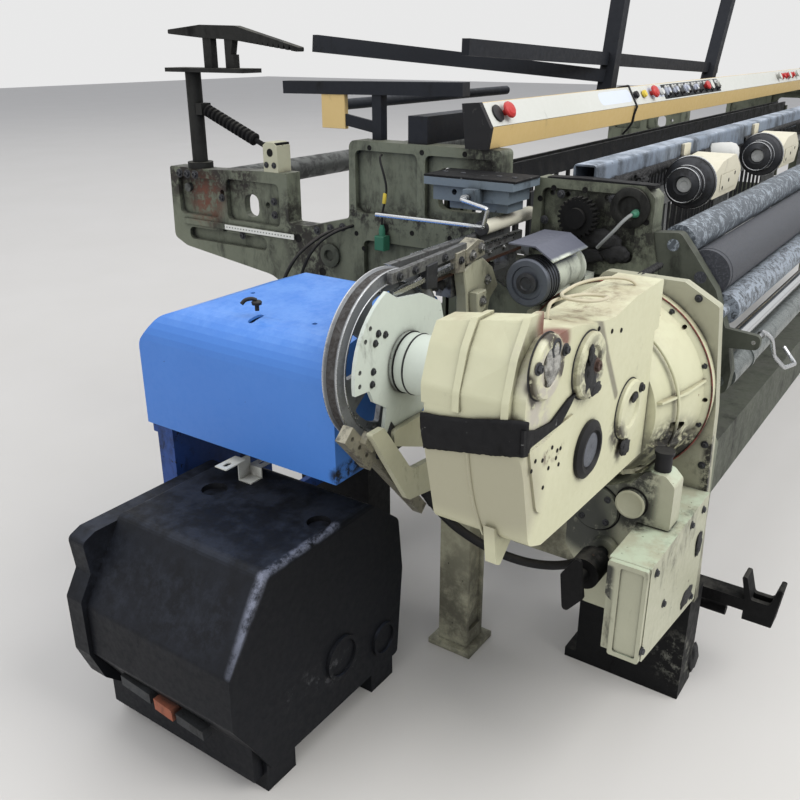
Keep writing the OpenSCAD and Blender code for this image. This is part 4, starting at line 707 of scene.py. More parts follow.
    "lint_pale": linty("lint_pale", (90, 88, 84), (176, 174, 166), 0.3, 0.6, 0.95, 60),
    "lining": linty("lining_grey", (66, 64, 62), (44, 38, 34), 0.4, 0.6, 0.8, 60),
    "sealant": linty("sealant_red", (128, 58, 50), (60, 44, 38), 0.44, 0.6, 0.8, 80),
    "sticker": paint("blank_sticker", (148, 84, 60), (132, 74, 52), (40, 34, 30), 0.5, 0.66, 0.5, 0.1),
    "blank": paint("blank_plate", (50, 52, 54), (40, 42, 44), (14, 14, 14), 0.46, 0.6, 0.5, 0.1),
    "white_iron": paint(
        "bracket_white", (216, 216, 208), (200, 200, 190), (80, 74, 64), 0.62, 0.72, 0.36, 0.2, spots=0.76
    ),
    "motor": paint(
        "motor_green", (204, 208, 192), (176, 180, 164), (36, 35, 32), 0.5, 0.64, 0.42, 0.3, seam=0.95,
        dust=(92, 96, 106), dust_share=0.9, spots=0.75,
        patches=(((84, 86, 96), ((-2160, -420, 1096), (-1990, -420, 1096)), 58, 66, 0.0, 0.1),)
    ),
}

NODE_LOOKS = {
    "drive": "drive_housing_left drive_cover_left drive_housing_right",
    "gearbox": "take_up_gearbox gearbox_cover",
    "plate": "end_plates",
    "guard": "wheel_guards",
    "frame": "side_frame_left side_frame_right",
    "grimy": "cross_girders roller_brackets",
    "post": "back_post",
    "leg": "drive_legs",
    "blue": "side_cover",
    "blue_dark": "cover_stand",
    "black_box": "floor_housing",
    "black_part": "filler_cap panel_caps button_1",
    "plug": "drive_plug",
    "foot": "feet",
    "black_iron": "cloth_forks pick_gear gearbox_coupling back_spring",
    "slate": "overhead_beams",
    "white_beam": "front_crossbeam",
    "panel": "panel_face",
    "tan": "panel_body",
    "steel": "take_up_gear",
    "rim": "stop_handle selvedge_rod",
    "clamp": "tape_clamp",
    "rail": "tape_rails",
    "wheel": "rapier_wheel_left rapier_wheel_right",
    "dark_steel": "reed feeder_drum_1 feeder_drum_2",
    "pulley": "motor_wheel",
    "chrome": "chrome_tube",
    "guide": "guide_bar",
    "heald": "heald_frame_1 heald_frame_2",
    "roller": "press_roller",
    "roller_dark": "take_up_roller",
    "roller_white": "spreader_roller",
    "whip": "whip_roll",
    "aluminium": "sley",
    "unit": "selvedge_unit",
    "feeder": "weft_feeders",
    "hose": "drive_hose",
    "cable": "sensor_cable",
    "white_iron": "hook_bracket",
    "red": "estop_left estop_mid",
    "yellow": "button_2",
    "white": "button_3",
    "motor": "motor",
}


def dress_nodes():
    for look, names in NODE_LOOKS.items():
        for name in names.split():
            mesh = nodes[name].data
            mesh.materials.clear()
            mesh.materials.append(LOOKS[look])


dress_nodes()


def soften(name, width, segments=2, angle=32):
    """Narrow worn edges on a casting or cover; the width is in millimetres."""
    thing = nodes[name]
    weld = thing.modifiers.new("weld", "WELD")
    weld.merge_threshold = 0.00002
    edge = thing.modifiers.new("edge", "BEVEL")
    edge.width = mm(width)
    edge.segments = segments
    edge.limit_method = "ANGLE"
    edge.angle_limit = radians(angle)
    edge.harden_normals = False
    edge.use_clamp_overlap = True


# Drive housing: the band over its joint, seams, and what lies on its caps and bell
def nose_x(z):
    """The casing's end face, which slopes in below the joint."""
    return NOSE_X if z > JOINT_Z else NOSE_X + (JOINT_Z - z) * NOSE_LEAN / JOINT_DROP


def add_band():
    """The black rubber band that hangs over the joint on the nose, with a ragged lower edge."""
    top = [(-577, 974), (-611, 976), (-664, 984), (-714, 996), (-738, 1001)]
    low = [(-577, 909), (-630, 919), (-683, 929), (-717, 936), (-738, 941)]
    verts = []
    faces = []
    rows = 8
    clear = 3.2
    top_lip_z = 985

    def value(points, y):
        for (y0, z0), (y1, z1) in zip(points, points[1:]):
            if y1 <= y <= y0:
                return z0 + (z1 - z0) * (y - y0) / (y1 - y0)
        return points[-1][1]

    # Columns along the nose, then round its corner onto the front
    columns = [(0, -577 - 4 * i) for i in range(41)] + [(2, -743), (5, -748), (9, -752), (14, -754.4)]
    steps = len(columns) - 1
    for i, (shift, y) in enumerate(columns):
        rag = 2.5 * noise.noise(Vector((i * 0.6, 0, 0)))
        for k in range(rows + 1):
            z = value(low, y) + rag + (value(top, y) - value(low, y) - rag - 0.35 * shift) * k / rows
            x = nose_x(z) - clear - 1.2 * noise.noise(Vector((i * 0.35, k * 0.5, 2))) + shift
            if z > top_lip_z and shift == 0:
                x -= 2.5
            verts.append(at(x, y, z))
    for i in range(steps):
        for k in range(rows):
            a = i * (rows + 1) + k
            faces.append((a, a + 1, a + rows + 2, a + rows + 1))
    thing = piece("joint_band", mesh_of("joint_band", verts, faces), "gasket")
    thick = thing.modifiers.new("thick", "SOLIDIFY")
    thick.thickness = 0.003
    thick.offset = 0


def add_joint_details():
    """The casting seam down the nose, and the wedge of gasket along the front face."""
    seam_line = [
        at(nose_x(z) - 1, y, z)
        for y, z in ((-657, 930), (-656, 890), (-657, 840), (-662, 800), (-670, 766))
    ]
    tube("nose_seam", flowing(seam_line, 4), mm(3), "drive", sides=8)
    slab(
        "joint_gasket", [
            (-2821, 944), (-2742, 940), (-2690, 950), (-2655, 972), (-2640, 986), (-2668, 984), (-2728, 966),
            (-2780, 972), (-2822, 986),
        ], "Y", -754, -748.5, "gasket", chamfer=1.2
    )


add_band()
add_joint_details()


def lump(name, centre, size, look, seed, rough=0.35, detail=3):
    """An uneven clot of grease or lint on a surface."""
    work = bmesh.new()
    bmesh.ops.create_icosphere(work, subdivisions=detail, radius=1.0)
    reach = Vector(size)
    for vert in work.verts:
        coarse = noise.noise(vert.co * 2.1 + Vector((seed, 0, 0)))
        fine = noise.noise(vert.co * 5.3)
        swell = 1 + rough * coarse + 0.5 * rough * fine
        vert.co = vert.co * reach * swell / 1000 + centre
    mesh = bpy.data.meshes.new(name)
    work.to_mesh(mesh)
    work.free()
    return piece(name, mesh, look, smooth=None)


bolts("cap_a_bolts", on_y(-763, ((-2806, 1078), (-2718, 1082))), FRONT, 6.5)
lump("cap_a_lint", at(-2750, -759, 1070), (26, 5, 34), "lint_pale", 1)
lathe(
    "cap_a_eye", [(15, -2), (17, 2), (15, 5), (11, 5.5), (9, 3), (0, 3)], at(-2748, -758, 1092), FRONT,
    "blank"
)
bolts("cap_b_stud", [(-2590, -762, 1018)], FRONT, 9, "brass")
lump("cap_b_grease_1", at(-2604, -759, 1004), (24, 6, 36), "lint_dark", 2)
lump("cap_b_grease_2", at(-2616, -764, 1044), (10, 3, 16), "lint_dark", 3)
lump("cap_b_grease_3", at(-2580, -761, 975), (20, 5, 12), "lint_dark", 4)
bolts("cap_c_bolt", [(-2350, -762, 902)], FRONT, 6.5)
lump("cap_c_grease_1", at(-2400, -759, 796), (22, 6, 16), "lint_dark", 5)
lump("cap_c_grease_2", at(-2376, -761, 890), (16, 3, 8), "lint_dark", 6)
pits("cover_pits", on_y(COVER_Y - 1, ((-2560, 1070), (-2500, 1050), (-2456, 1040))), FRONT, 3.6)
pits(
    "plate_pits", on_y(
        -754.6, (
            (-2721, 921), (-2701, 908), (-2689, 907), (-2754, 912), (-2779, 921), (-2791, 909), (-2730, 889),
            (-2692, 880), (-2746, 862), (-2704, 896),
        )
    ), FRONT, 3.0
)
lathe(
    "plug_middle", [(30, 0), (31, 1.5), (30, 3.5), (26, 4.5), (12, 4.2), (4, 3), (0, 3)],
    at(-2570, -754.5, 858), FRONT, "pulley"
)


def add_bell_details():
    ring("sealant_ring", (-2097, BELL_Y, BELL_Z), 223, 1.6, RIGHT, "sealant", count=120)
    bolt_circle = 212
    heads = []
    for degrees in range(20, 380, 36):
        a = radians(degrees)
        heads.append((-2100, BELL_Y - bolt_circle * cos(a), BELL_Z + bolt_circle * sin(a)))
    bolts("bell_bolts", heads, LEFT, 4.5)
    ring("bell_lip", (-2217, BELL_Y, BELL_Z), 192, 3.4, RIGHT, "drive", sides=10, count=96)
    for cap, x, z, radius in (("a", -2762, 1066, 51.2), ("b", -2600, 1020, 57.2), ("c", -2385, 868, 59.2)):
        ring(f"cap_{cap}_seam", (x, COVER_Y - 0.4, z), radius, 1.3, BACK, "lint_dark", sides=6)
    # Casting ribs that run down the bell, towards the end plate
    parts = []
    foot = 0.022
    crest = foot * 0.6
    for degrees in (200, 232, 264, 168):
        a = radians(degrees)
        verts = []
        for x, r in ((-2104, 203), (-2190, 192), (-2262, 164)):
            for lift, half in ((-3, foot), (11, crest)):
                for turn in (a - half, a + half):
                    verts.append(at(x, BELL_Y + (r + lift) * cos(turn), BELL_Z + (r + lift) * sin(turn)))
        faces = [(0, 1, 3, 2), (8, 9, 11, 10)]
        for i in (0, 4):
            faces += [(i, i + 1, i + 5, i + 4), (i + 2, i + 3, i + 7, i + 6), (i, i + 2, i + 6, i + 4),
                      (i + 1, i + 3, i + 7, i + 5)]
        parts.append((verts, faces))
    group_of("bell_ribs", parts, "drive")


add_bell_details()

# Breather pipe that lies coiled on the cover's shell
BREATHER = [
    (-2630, -690, 1052), (-2630, -690, 1078), (-2628, -689, 1098), (-2618, -686, 1110), (-2600, -682, 1113),
    (-2570, -680, 1111), (-2535, -684, 1108), (-2506, -694, 1106), (-2488, -710, 1104), (-2486, -728, 1104),
    (-2502, -738, 1107), (-2530, -740, 1110), (-2560, -734, 1114), (-2582, -720, 1118), (-2588, -702, 1120),
    (-2574, -688, 1119), (-2548, -676, 1115), (-2516, -668, 1111), (-2480, -662, 1108), (-2440, -660, 1106),
    (-2400, -664, 1104), (-2364, -676, 1102), (-2340, -694, 1100), (-2328, -712, 1096), (-2324, -722, 1088),
    (-2323, -724, 1076),
]
cord("breather_pipe", BREATHER, 6, "loop", steps=3)


# Rapier wheel: bright worn edges, a brown lining in the channel, bolts, and the guard beside it
def add_wheel_lining():
    inner, outer, near, far = 177, 179.4, 279.5, 256.5
    profile = [(inner, far), (outer, far), (outer, near), (inner, near), (inner, far)]
    verts, faces = lathe_parts(profile, at(WHEEL_X, 0, WHEEL_Z), FRONT, 120)
    piece("wheel_lining", mesh_of("wheel_lining", verts, faces[:-2]), "lining", "rapier_wheel_left")


def on_wheel(y, radius, degrees):
    """Places on a circle round the left wheel's axis."""
    turns = [radians(a) for a in degrees]
    return [(WHEEL_X + radius * cos(turn), y, WHEEL_Z + radius * sin(turn)) for turn in turns]


for side, x in (("left", WHEEL_X), ("right", -WHEEL_X)):
    for number, y, radius in ((1, -284.6, 182.6), (2, -251.4, 182.6), (3, -284.8, 158)):
        ring(f"wheel_edge_{side}_{number}", (x, y, WHEEL_Z), radius, 1.9, BACK, "rim", "rapier_wheel_" + side,
             count=120)
add_wheel_lining()
bolts("wheel_bolts", on_wheel(-273.5, 148, range(10, 370, 30)), FRONT, 5.5, "steel", "rapier_wheel_left")
bolts("wheel_hub_bolts", on_wheel(-281.6, 34, range(0, 360, 60)), FRONT, 5, "dark_steel", "rapier_wheel_left")
bolts("guard_bolts", on_y(-320.5, ((-2580, 988), (-2557, 980), (-2590, 971), (-2598, 916), (-2602, 891))),
      FRONT, 5)
bolts("clamp_bolts", on_y(-312.5, ((-2596, 752), (-2574, 727), (-2552, 702))), FRONT, 6)
slab(
    "guard_torn_edge", [
        (-2560, 760), (-2548, 752), (-2516, 720), (-2488, 722), (-2470, 738), (-2500, 744), (-2520, 764),
        (-2540, 790),
    ], "Y", -322.5, -319.5, "lint_dark", chamfer=0.6
)

# Side cover's latch and the black housing's label places
lathe(
    "latch_knob", [(5, -8), (5, 4), (11, 6), (12, 12), (9, 15), (0, 15)], at(-2488, 84, 952), UP, "black_part"
)
tube(
    "latch_arm",
    flowing([at(-2488, 84, 968), at(-2496, 92, 972), at(-2508, 100, 970), at(-2516, 104, 962)], 4), mm(4.5),
    "black_part"
)
slab("blank_sticker", [(50, 176), (-6, 170), (-8, 142), (48, 148)], "X", -2924, -2895, "sticker", chamfer=0.6)
slab("blank_plate_1", [(160, 186), (66, 178), (64, 152), (158, 160)], "X", -2922, -2895, "blank", chamfer=0.6)
slab(
    "blank_plate_2", [(-14, 164), (-96, 156), (-98, 134), (-16, 140)], "X", -2920, -2895, "blank", chamfer=0.6
)


# Tape rails: a brown strip under the rail, a cream pipe with a dark end, bolts
slab("rail_strip", rectangle(RAIL_FROM, RAIL_TO, 1023, 1030), "Y", -276, -272, "brass", chamfer=0.8)
slab("rail_edge", rectangle(RAIL_FROM, RAIL_TO, 1048, 1052), "Y", -276.5, -272.5, "rim", chamfer=0.8)
bolts("rail_bolts", [(x, -274, 1045) for x in range(-2280, -1940, 70)], FRONT, 5.5, "steel")
lathe("rail_pipe", [(16.2, 0), (16.8, 2), (16.8, 250), (16.2, 252)], at(-2072, -250, 1097), RIGHT, "pipe")
lathe(
    "rail_pipe_end", [(16.0, -1), (17.4, 0), (17.4, 10), (16.2, 11)], at(-2073, -250, 1097), RIGHT,
    "dark_steel"
)
bolts("selvedge_bolts", [(-1990, y, 1203) for y in (-290, -250, -150, -100)], UP, 7)
slab("selvedge_strip", rectangle(-2046, -1920, -322, -72), "Z", 1202, 1207, "gasket", chamfer=1.0)
slab(
    "selvedge_face", [(-300, 1184), (-210, 1184), (-210, 1150), (-298, 1150)], "X", -2032.6, -2030, "unit",
    chamfer=0.8
)


# Side frame: scale strip, green sensor, holes and small castings
slab("scale_strip", rectangle(480, 768, 955.5, 971), "X", -1909.4, -1907.6, "white_iron", chamfer=0.4)
pits("scale_marks", [(-1909.5, 494 + 12 * k, 963.5) for k in range(23)], LEFT, 1.6)
slab(
    "green_sensor", [(133, 1008), (165, 1008), (165, 968), (133, 968)], "X", -1932, FRAME_X, "green",
    chamfer=3
)
lathe("sensor_neck", [(9, -4), (9, 22), (7, 26), (5, 34)], at(-1916, 149, 1004), UP, "green", sides=16)
lathe(
    "sensor_sleeve", [(4.6, 0), (5.4, 2), (5.4, 26), (4.6, 28)], at(-1913.5, 143, 1096), (0, -0.14, 1),
    "yellow", sides=14
)
SENSOR_LEAD = [
    (-1916, 149, 1036), (-1916, 149, 1052), (-1915, 148, 1070), (-1913, 144, 1090), (-1912, 139, 1110),
    (-1912, 136, 1130), (-1913, 137, 1150), (-1915, 141, 1170), (-1916, 147, 1190), (-1915, 153, 1206),
    (-1910, 157, 1218), (FRAME_X - 0.5, 158, 1222),
]
cord("sensor_lead", SENSOR_LEAD, 6, "hose", steps=3)
pits(
    "frame_pits_1", on_x(
        FRAME_X - 0.5, (
            (-560, 1170), (-520, 1178), (-430, 1180), (-350, 1178), (-316, 1150), (-312, 1060), (-585, 1120),
            (225, 960), (60, 1022), (-60, 1022), (250, 1000), (-195, 1010), (30, 1236), (-100, 1240),
            (200, 1238),
        )
    ), LEFT, 6
)
pits("frame_pits_2", on_x(FRAME_X - 0.5, ((380, 870), (150, 1026), (470, 960), (-230, 940))), LEFT, 11)
bolts(
    "frame_bolts", on_x(
        FRAME_X, (
            (300, 1012), (345, 1004), (395, 992), (560, 1020), (560, 1060), (780, 1052), (700, 942),
            (-210, 1180), (-580, 960),
        )
    ), LEFT, 8
)
lathe(
    "frame_eye", [(30, 0), (34, 3), (34, 9), (26, 12), (18, 12), (14, 4), (0, 4)], at(FRAME_X, 345, 925),
    LEFT, "grimy"
)
lathe(
    "front_bore", [(40, 0), (46, 3), (46, 10), (38, 14), (28, 14), (24, 4), (0, 4)], at(FRAME_X, -545, 1150),
    LEFT, "post"
)
bolts("gear_side_bolts", on_x(FRAME_X, ((-500, 1165), (-370, 1165), (-330, 1100))), LEFT, 7)
for number, (y, z, w, h) in enumerate((
    (-470, 1068, 60, 26), (-400, 1050, 46, 22), (-340, 1040, 40, 20), (-520, 1040, 34, 22),
    (-440, 1030, 52, 20),
), 1):
    lump(f"frame_grease_{number}", at(-1903, y, z), (10, w, h), "lint_dark", 9 + number)

# Black cables that run down behind the side cover
BACK_CABLES = [
    [
        (FRAME_X - 0.5, 300, 1010), (-1925, 306, 1008), (-1960, 318, 1000), (-1996, 330, 984),
        (-2030, 344, 962), (-2058, 356, 934), (-2078, 366, 900), (-2090, 374, 862), (-2098, 380, 820),
        (-2104, 384, 776), (-2110, 386, 730), (-2118, 386, 690), (-2130, 384, 656), (-2146, 380, 636),
        (-2166, 375, 628), (-2189.5, 373, 626),
    ],
    [
        (FRAME_X - 0.5, 330, 1000), (-1922, 338, 996), (-1950, 350, 986), (-1982, 362, 968),
        (-2012, 374, 944), (-2038, 384, 912), (-2058, 392, 876), (-2072, 398, 836), (-2082, 400, 790),
        (-2088, 400, 744), (-2092, 396, 700), (-2098, 390, 660), (-2108, 382, 624), (-2124, 376, 600),
        (-2148, 373, 588), (-2189.5, 372, 584),
    ],
    [
        (FRAME_X - 0.5, 262, 1020), (-1924, 268, 1018), (-1954, 282, 1010), (-1984, 300, 994),
        (-2008, 318, 968), (-2024, 334, 934), (-2034, 346, 894), (-2040, 354, 850), (-2044, 358, 804),
        (-2048, 360, 758), (-2054, 362, 714), (-2064, 364, 676), (-2080, 366, 644), (-2104, 368, 622),
        (-2140, 369, 610), (-2189.5, 369, 606),
    ],
]
for number, route in enumerate(BACK_CABLES, 1):
    cord(f"back_cable_{number}", route, 9, "hose", steps=3)


# Control panel: its face's slope and the way out of it, then switches, a dark field and a tie
SLOPE = Vector((0, 33, 57)).normalized()
OUT = Vector((0, -57, 33)).normalized()


def on_panel(x, up=33.0, out=3.0):
    return at(x, *PANEL_FOOT) + SLOPE * mm(up) + OUT * mm(out)


def add_panel_details():
    toggle = [(7.5, 0), (8.5, 1), (8.5, 5), (5, 6), (4, 15), (0, 16)]
    first_x = -590
    for name, up, look in (("panel_toggles", 18, "black_part"), ("panel_toggles_low", 47, "white")):
        places = [on_panel(first_x + 76 * number, up) for number in range(9)]
        group_of(name, [lathe_parts(toggle, place, OUT, 14) for place in places], look)
    lathe(
        "panel_switch_red", [(12, 0), (13, 2), (13, 7), (17, 9), (18, 15), (14, 19), (0, 20)], on_panel(-130),
        OUT, "red"
    )
    verts = [on_panel(x, up, 3.3) for x in (first_x - 40, 60) for up in (6, 60)]
    thing = piece("panel_field", mesh_of("panel_field", verts, [(0, 1, 3, 2)]), "blank")
    thick = thing.modifiers.new("thick", "SOLIDIFY")
    thick.thickness = 0.0006
    tie = [on_panel(-930, up, 4.6) for up in (-2, 14, 30, 46, 62, 68)]
    low = [at(-930, y, z) for y, z in ((-181, 1303), (-174, 1280), (-171, 1258), (-160, 1238), (-140, 1215))]
    route = list(reversed(low)) + tie + [at(-930, -132, 1366), at(-930, -112, 1362), at(-930, -98, 1352)]
    tube("panel_tie", flowing(route, 3), mm(3.6), "black_part", sides=8)


add_panel_details()
RED_SWITCH = [(15, 0), (16, 2), (16, 8), (11, 10), (12, 18), (0, 20)]
group_of(
    "panel_reds", [lathe_parts(RED_SWITCH, on_panel(x), OUT, 16) for x in (1180, 1262, 1330, 1400)], "red"
)
lathe("estop_base", [(21, 0), (22, 1), (22, 5), (19, 6), (0, 6)], on_panel(-1850), OUT, "black_part")

# Small motor: grooves of its belt pulley, drawn as dark rings of painted shade
for number, x in enumerate((-2112, -2124, -2136, -2148), 1):
    ring(f"pulley_groove_{number}", (x, MOTOR_Y, MOTOR_Z), 54, 1.5, RIGHT, "pit", "motor_wheel")
lathe("pulley_boss", [(22, 0), (24, 1), (24, 4), (15, 5), (13, 2), (0, 2)], at(-2161, MOTOR_Y, MOTOR_Z), LEFT,
      "dark_steel", "motor_wheel")

# Weft feeders: bright and dark rings, a boss, a side plate with screws, and a pale bowl between them
for number, x in enumerate((-1360, -560), 1):
    body = f"feeder_drum_{number}"
    for k, (shift, radius, thick, look) in enumerate((
        (28, 72.3, 1.6, "rim"), (16, 70, 1.4, "pit"), (-10, 50.6, 1.2, "rim"), (-26, 50.6, 1.2, "pit"),
        (-40, 47, 1.4, "rim"),
    ), 1):
        ring(
            f"feeder_ring_{number}_{k}", (x + shift, DRUM_Y, DRUM_Z), radius, thick, RIGHT, look, body
        )
    lathe(
        f"feeder_boss_{number}", [(20, 0), (22, 2), (20, 6), (12, 7), (9, 4), (0, 4)],
        at(x - 24, DRUM_Y, DRUM_Z), LEFT, "white", body
    )
    slab(
        f"feeder_panel_{number}",
        [(x + 110, 1150), (x + 270, 1150), (x + 286, 1128), (x + 270, 1104), (x + 110, 1104)], "Y", -567.5,
        -564, "feeder", chamfer=1.5
    )
    pits(f"feeder_pits_{number}", on_y(-567.6, ((x + 130, 1112), (x + 250, 1142), (x + 190, 1128))),
         FRONT, 5)
lathe(
    "feeder_bowl", [(30, 0), (34, 4), (35, 30), (34, 62), (28, 78), (16, 86), (0, 88)], at(-900, -430, 1166),
    (0.2, -1, 0.1), "white"
)


# Front face of the white beam, and the height where lint clings to it
BEAM_Y = -432
BEAM_TOP = 1189


def lint_fringe(name, x0, x1, y, top, drop, count, seed):
    """A ragged hanging fringe of lint along an edge."""
    verts = []
    faces = []
    for i in range(count + 1):
        x = x0 + (x1 - x0) * i / count
        fall = drop * (0.45 + 0.55 * abs(noise.noise(Vector((i * 0.21, seed, 0))))) + 7 * random.random()
        wave = 4 * noise.noise(Vector((i * 0.3, seed, 5)))
        section = ((0, 0), (-5 + wave, 0.35), (wave - 3, 1), (5 + wave, 0.45), (8, 0))
        verts.extend(at(x, y + shift, top - fall * share) for shift, share in section)
    for i in range(count):
        for k in range(4):
            a = i * 5 + k
            faces.append((a, a + 1, a + 6, a + 5))
    return piece(name, mesh_of(name, verts, faces), "lint_dark", smooth=None)


random.seed(11)
lint_fringe("beam_lint_1", -1830, -700, BEAM_Y, BEAM_TOP, 46, 300, 1)
lint_fringe("beam_lint_2", -500, 1200, BEAM_Y, BEAM_TOP, 30, 300, 2)
for number, (x, size) in enumerate(((-1700, 70), (-1540, 50), (-1200, 80), (-1080, 56), (-980, 60)), 1):
    lump(
        f"beam_lint_lump_{number}", at(x, BEAM_Y - 4, BEAM_TOP - 20), (size, 9, 17), "lint_dark",
        20 + number, rough=0.9, detail=4
    )
lint_fringe("rail_lint", -2320, -2010, -252, 1008, 26, 90, 3)
lint_fringe("plate_lint", -2060, -1930, -640, 1042, 16, 60, 4)


# Gearbox: flange bolts, seam beads, grease
bolts(
    "flange_bolts",
    [(-2299, -674 + 38 * cos(radians(a)), 592 + 38 * sin(radians(a))) for a in (45, 135, 225, 315)], LEFT, 5
)
lathe(
    "gearbox_disc_ring", [(26, 0), (31, 0.5), (31, 2.5), (27, 3), (24, 1), (0, 1)], at(-2301.6, -750, 626),
    LEFT, "leg"
)
bolts(
    "gearbox_cover_bolts",
    on_y(-850.5, ((-2408, 556), (-2440, 392), (-2330, 440), (-2190, 556), (-2110, 556), (-2110, 330))), FRONT,
    6
)
for name, y, z, radius, thick in (
    ("gearbox_disc_seam", -750, 626, 32.5, 1.8), ("flange_seam", -674, 592, 54, 1.6),
):
    ring(name, (-2291, y, z), radius, thick, RIGHT, "pit", sides=6, count=60)
for number, (x, y, z, size) in enumerate(
    ((-2150, -850, 352, (40, 5, 20)), (-2110, -852, 470, (20, 4, 30))), 1
):
    lump(f"gearbox_grease_{number}", at(x, y, z), size, "lint_dark", 29 + number)
bolts("plate_bolts", on_x(-2070.5, ((-824, 690), (-824, 640), (-826, 520), (-824, 420), (-770, 1010))),
      LEFT, 5.5)
lump("foot_lint", at(-1965, -846, 60), (30, 10, 40), "lint_dark", 40)
lump("plate_rust", at(-2072, -818, 470), (4, 10, 40), "lint_dark", 41)

# Bolts on the back post's foot
bolts("post_bolts", [(-1930, y, 1120) for y in (895, 860, 930)], LEFT, 9)

# Tan plate on the steel tube, bracket below the spring, a rubber strip on the frame's front part
slab("tan_plate", rectangle(309, 391, 1279, 1377), "X", -1865.5, -1849, "tan", chamfer=1.2)
slab(
    "spring_bracket", [(538, 1144), (594, 1144), (594, 1222), (580, 1232), (552, 1232), (538, 1222)], "X",
    FRAME_X, -1840, "leg", chamfer=1.5
)
pits("spring_bracket_holes", [(FRAME_X - 0.5, 566, 1202)], LEFT, 10)
bolts("spring_bracket_bolts", on_x(FRAME_X, ((552, 1166), (582, 1166))), LEFT, 6)
slab(
    "shoulder_strip", [(-596, 1195), (-330, 1195), (-330, 1203), (-420, 1206), (-596, 1203)], "X", -1898,
    -1862, "gasket", chamfer=1.5
)

# Bracket that steadies the rail beside the motor, and the steel shoe that it holds over the wheel
slab(
    "rail_bracket", [
        (-2236, 1036), (-2200, 1052), (-2150, 1050), (-2104, 1020), (-2076, 972), (-2112, 946), (-2128, 900),
        (-2214, 904), (-2222, 980),
    ], "Y", -304, -274, "plate", chamfer=3
)
slab(
    "rail_bracket_web", [(-2214, 984), (-2170, 984), (-2170, 940), (-2206, 930)], "Y", -326, -300, "plate",
    chamfer=3
)
slab(
    "rail_clamp", [(-2232, 1050), (-2150, 1058), (-2156, 1090), (-2186, 1100), (-2236, 1084)], "Y", -308,
    -274, "clamp", chamfer=2
)
bolts(
    "rail_bracket_bolts", [(-2210, -309, 1068), (-2172, -309, 1078), (-2130, -305, 996), (-2190, -327, 962)],
    FRONT, 8, "steel"
)
slab(
    "shoe_bar", [(-2512, 1066), (-2512, 1088), (-2228, 1098), (-2228, 1076)], "Y", -305, -292, "rail",
    chamfer=1.2
)
slab(
    "shoe_edge", [(-2506, 1040), (-2506, 1050), (-2230, 1064), (-2230, 1054)], "Y", -305, -292, "rim",
    chamfer=1.2
)
slab(
    "shoe_link_1", [(-2392, 1030), (-2392, 1080), (-2352, 1082), (-2352, 1026)], "Y", -309, -293,
    "dark_steel", chamfer=2
)
slab(
    "shoe_link_2", [(-2278, 1040), (-2278, 1084), (-2240, 1086), (-2240, 1036)], "Y", -309, -293, "clamp",
    chamfer=2
)
bolts("shoe_bolts", [(-2486, -306, 1077), (-2432, -306, 1079), (-2320, -306, 1083), (-2259, -310, 1066)],
      FRONT, 6)

# Seams of the wheel's hub, and the rail's upper edges
ring("hub_seam", (WHEEL_X, -329.5, WHEEL_Z), 62.6, 2, BACK, "pit", sides=6, count=60)
ring("hub_ring", (WHEEL_X, -352, WHEEL_Z), 61.6, 2.2, BACK, "lint_dark", sides=6, count=60)
slab("rail_top_edge", rectangle(RAIL_FROM, RAIL_TO, 1066, 1070.6), "Y", -277, -272, "rim", chamfer=0.8)
slab("rail_far_edge", rectangle(RAIL_FROM, RAIL_TO, 1078, 1083), "Y", -228, -224, "rim", chamfer=0.8)

# Edge widths, in millimetres
for name, width in (("drive_housing_left", 3), ("drive_cover_left", 2.5), ("floor_housing", 5),
                    ("side_cover", 1.5), ("gearbox_cover", 2), ("take_up_gearbox", 2),
                    ("end_plates", 2), ("panel_body", 1.5), ("front_crossbeam", 1.5), ("feet", 3),
                    ("side_frame_left", 2), ("drive_legs", 2), ("selvedge_unit", 1.5)):
    soften(name, width)

for mesh, look in waiting:
    mesh.materials.append(LOOKS[look])


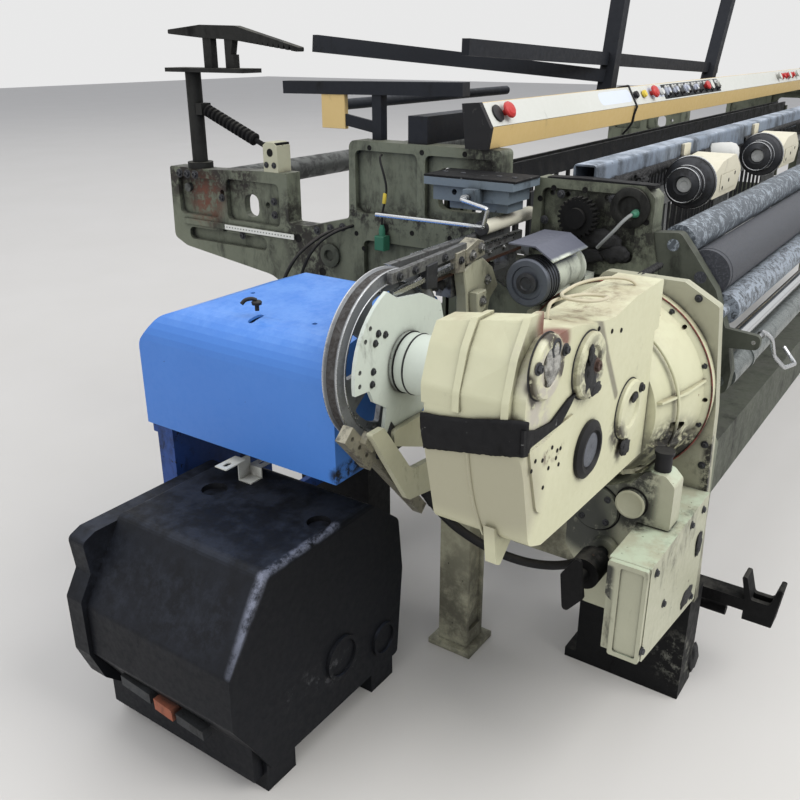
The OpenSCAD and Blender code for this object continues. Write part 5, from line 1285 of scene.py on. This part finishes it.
# Floor and light
def add_stage():
    mesh = bpy.data.meshes.new("floor")
    reach = 30.0
    mesh.from_pydata([(-reach, -reach, 0), (reach, -reach, 0), (reach, reach, 0), (-reach, reach, 0)], [],
                     [(0, 1, 2, 3)])
    floor = bpy.data.objects.new("floor", mesh)
    bpy.context.scene.collection.objects.link(floor)
    look = Look("floor_pale")
    soft = look.noise(1.2, 3)
    matt = 0.85
    mesh.materials.append(look.done(look.mix(soft, (194, 191, 186), (187, 184, 178)), matt))


def add_lamp(name, place, aim, size, power):
    data = bpy.data.lights.new(name, "AREA")
    data.shape = "SQUARE"
    data.size = size
    data.energy = power
    lamp = bpy.data.objects.new(name, data)
    bpy.context.scene.collection.objects.link(lamp)
    lamp.location = place
    lamp.rotation_euler = (Vector(aim) - Vector(place)).to_track_quat("-Z", "Y").to_euler()


def add_light():
    world = bpy.data.worlds.new("studio")
    bpy.context.scene.world = world
    world.use_nodes = True
    tree = world.node_tree
    tree.nodes.clear()
    out = tree.nodes.new("ShaderNodeOutputWorld")

    def background(colour, strength):
        node = tree.nodes.new("ShaderNodeBackground")
        node.inputs["Color"].default_value = (*colour, 1)
        node.inputs["Strength"].default_value = strength
        return node

    # The world lights the part as one background, and is seen and mirrored as the other
    lit = background((0.86, 0.90, 1.0), 0.74)
    seen = background((0.90, 0.90, 0.90), 0.90)
    path = tree.nodes.new("ShaderNodeLightPath")
    either = tree.nodes.new("ShaderNodeMath")
    either.operation = "MAXIMUM"
    join = tree.nodes.new("ShaderNodeMixShader")
    tree.links.new(path.outputs["Is Camera Ray"], either.inputs[0])
    tree.links.new(path.outputs["Is Glossy Ray"], either.inputs[1])
    tree.links.new(either.outputs[0], join.inputs[0])
    tree.links.new(lit.outputs[0], join.inputs[1])
    tree.links.new(seen.outputs[0], join.inputs[2])
    tree.links.new(join.outputs[0], out.inputs[0])
    add_lamp("key", (-1.5, -5.0, 5.5), (-1.0, 0, 0.6), size=4.0, power=310)
    add_lamp("top", (-1.0, 0.5, 9.0), (-1.0, 0.5, 0), size=24.0, power=1350)
    add_lamp("side", (-7.5, 0.5, 3.0), (-2.5, -0.3, 0.7), size=3.0, power=60)


add_stage()
add_light()
bpy.context.scene.view_settings.view_transform = "Standard"
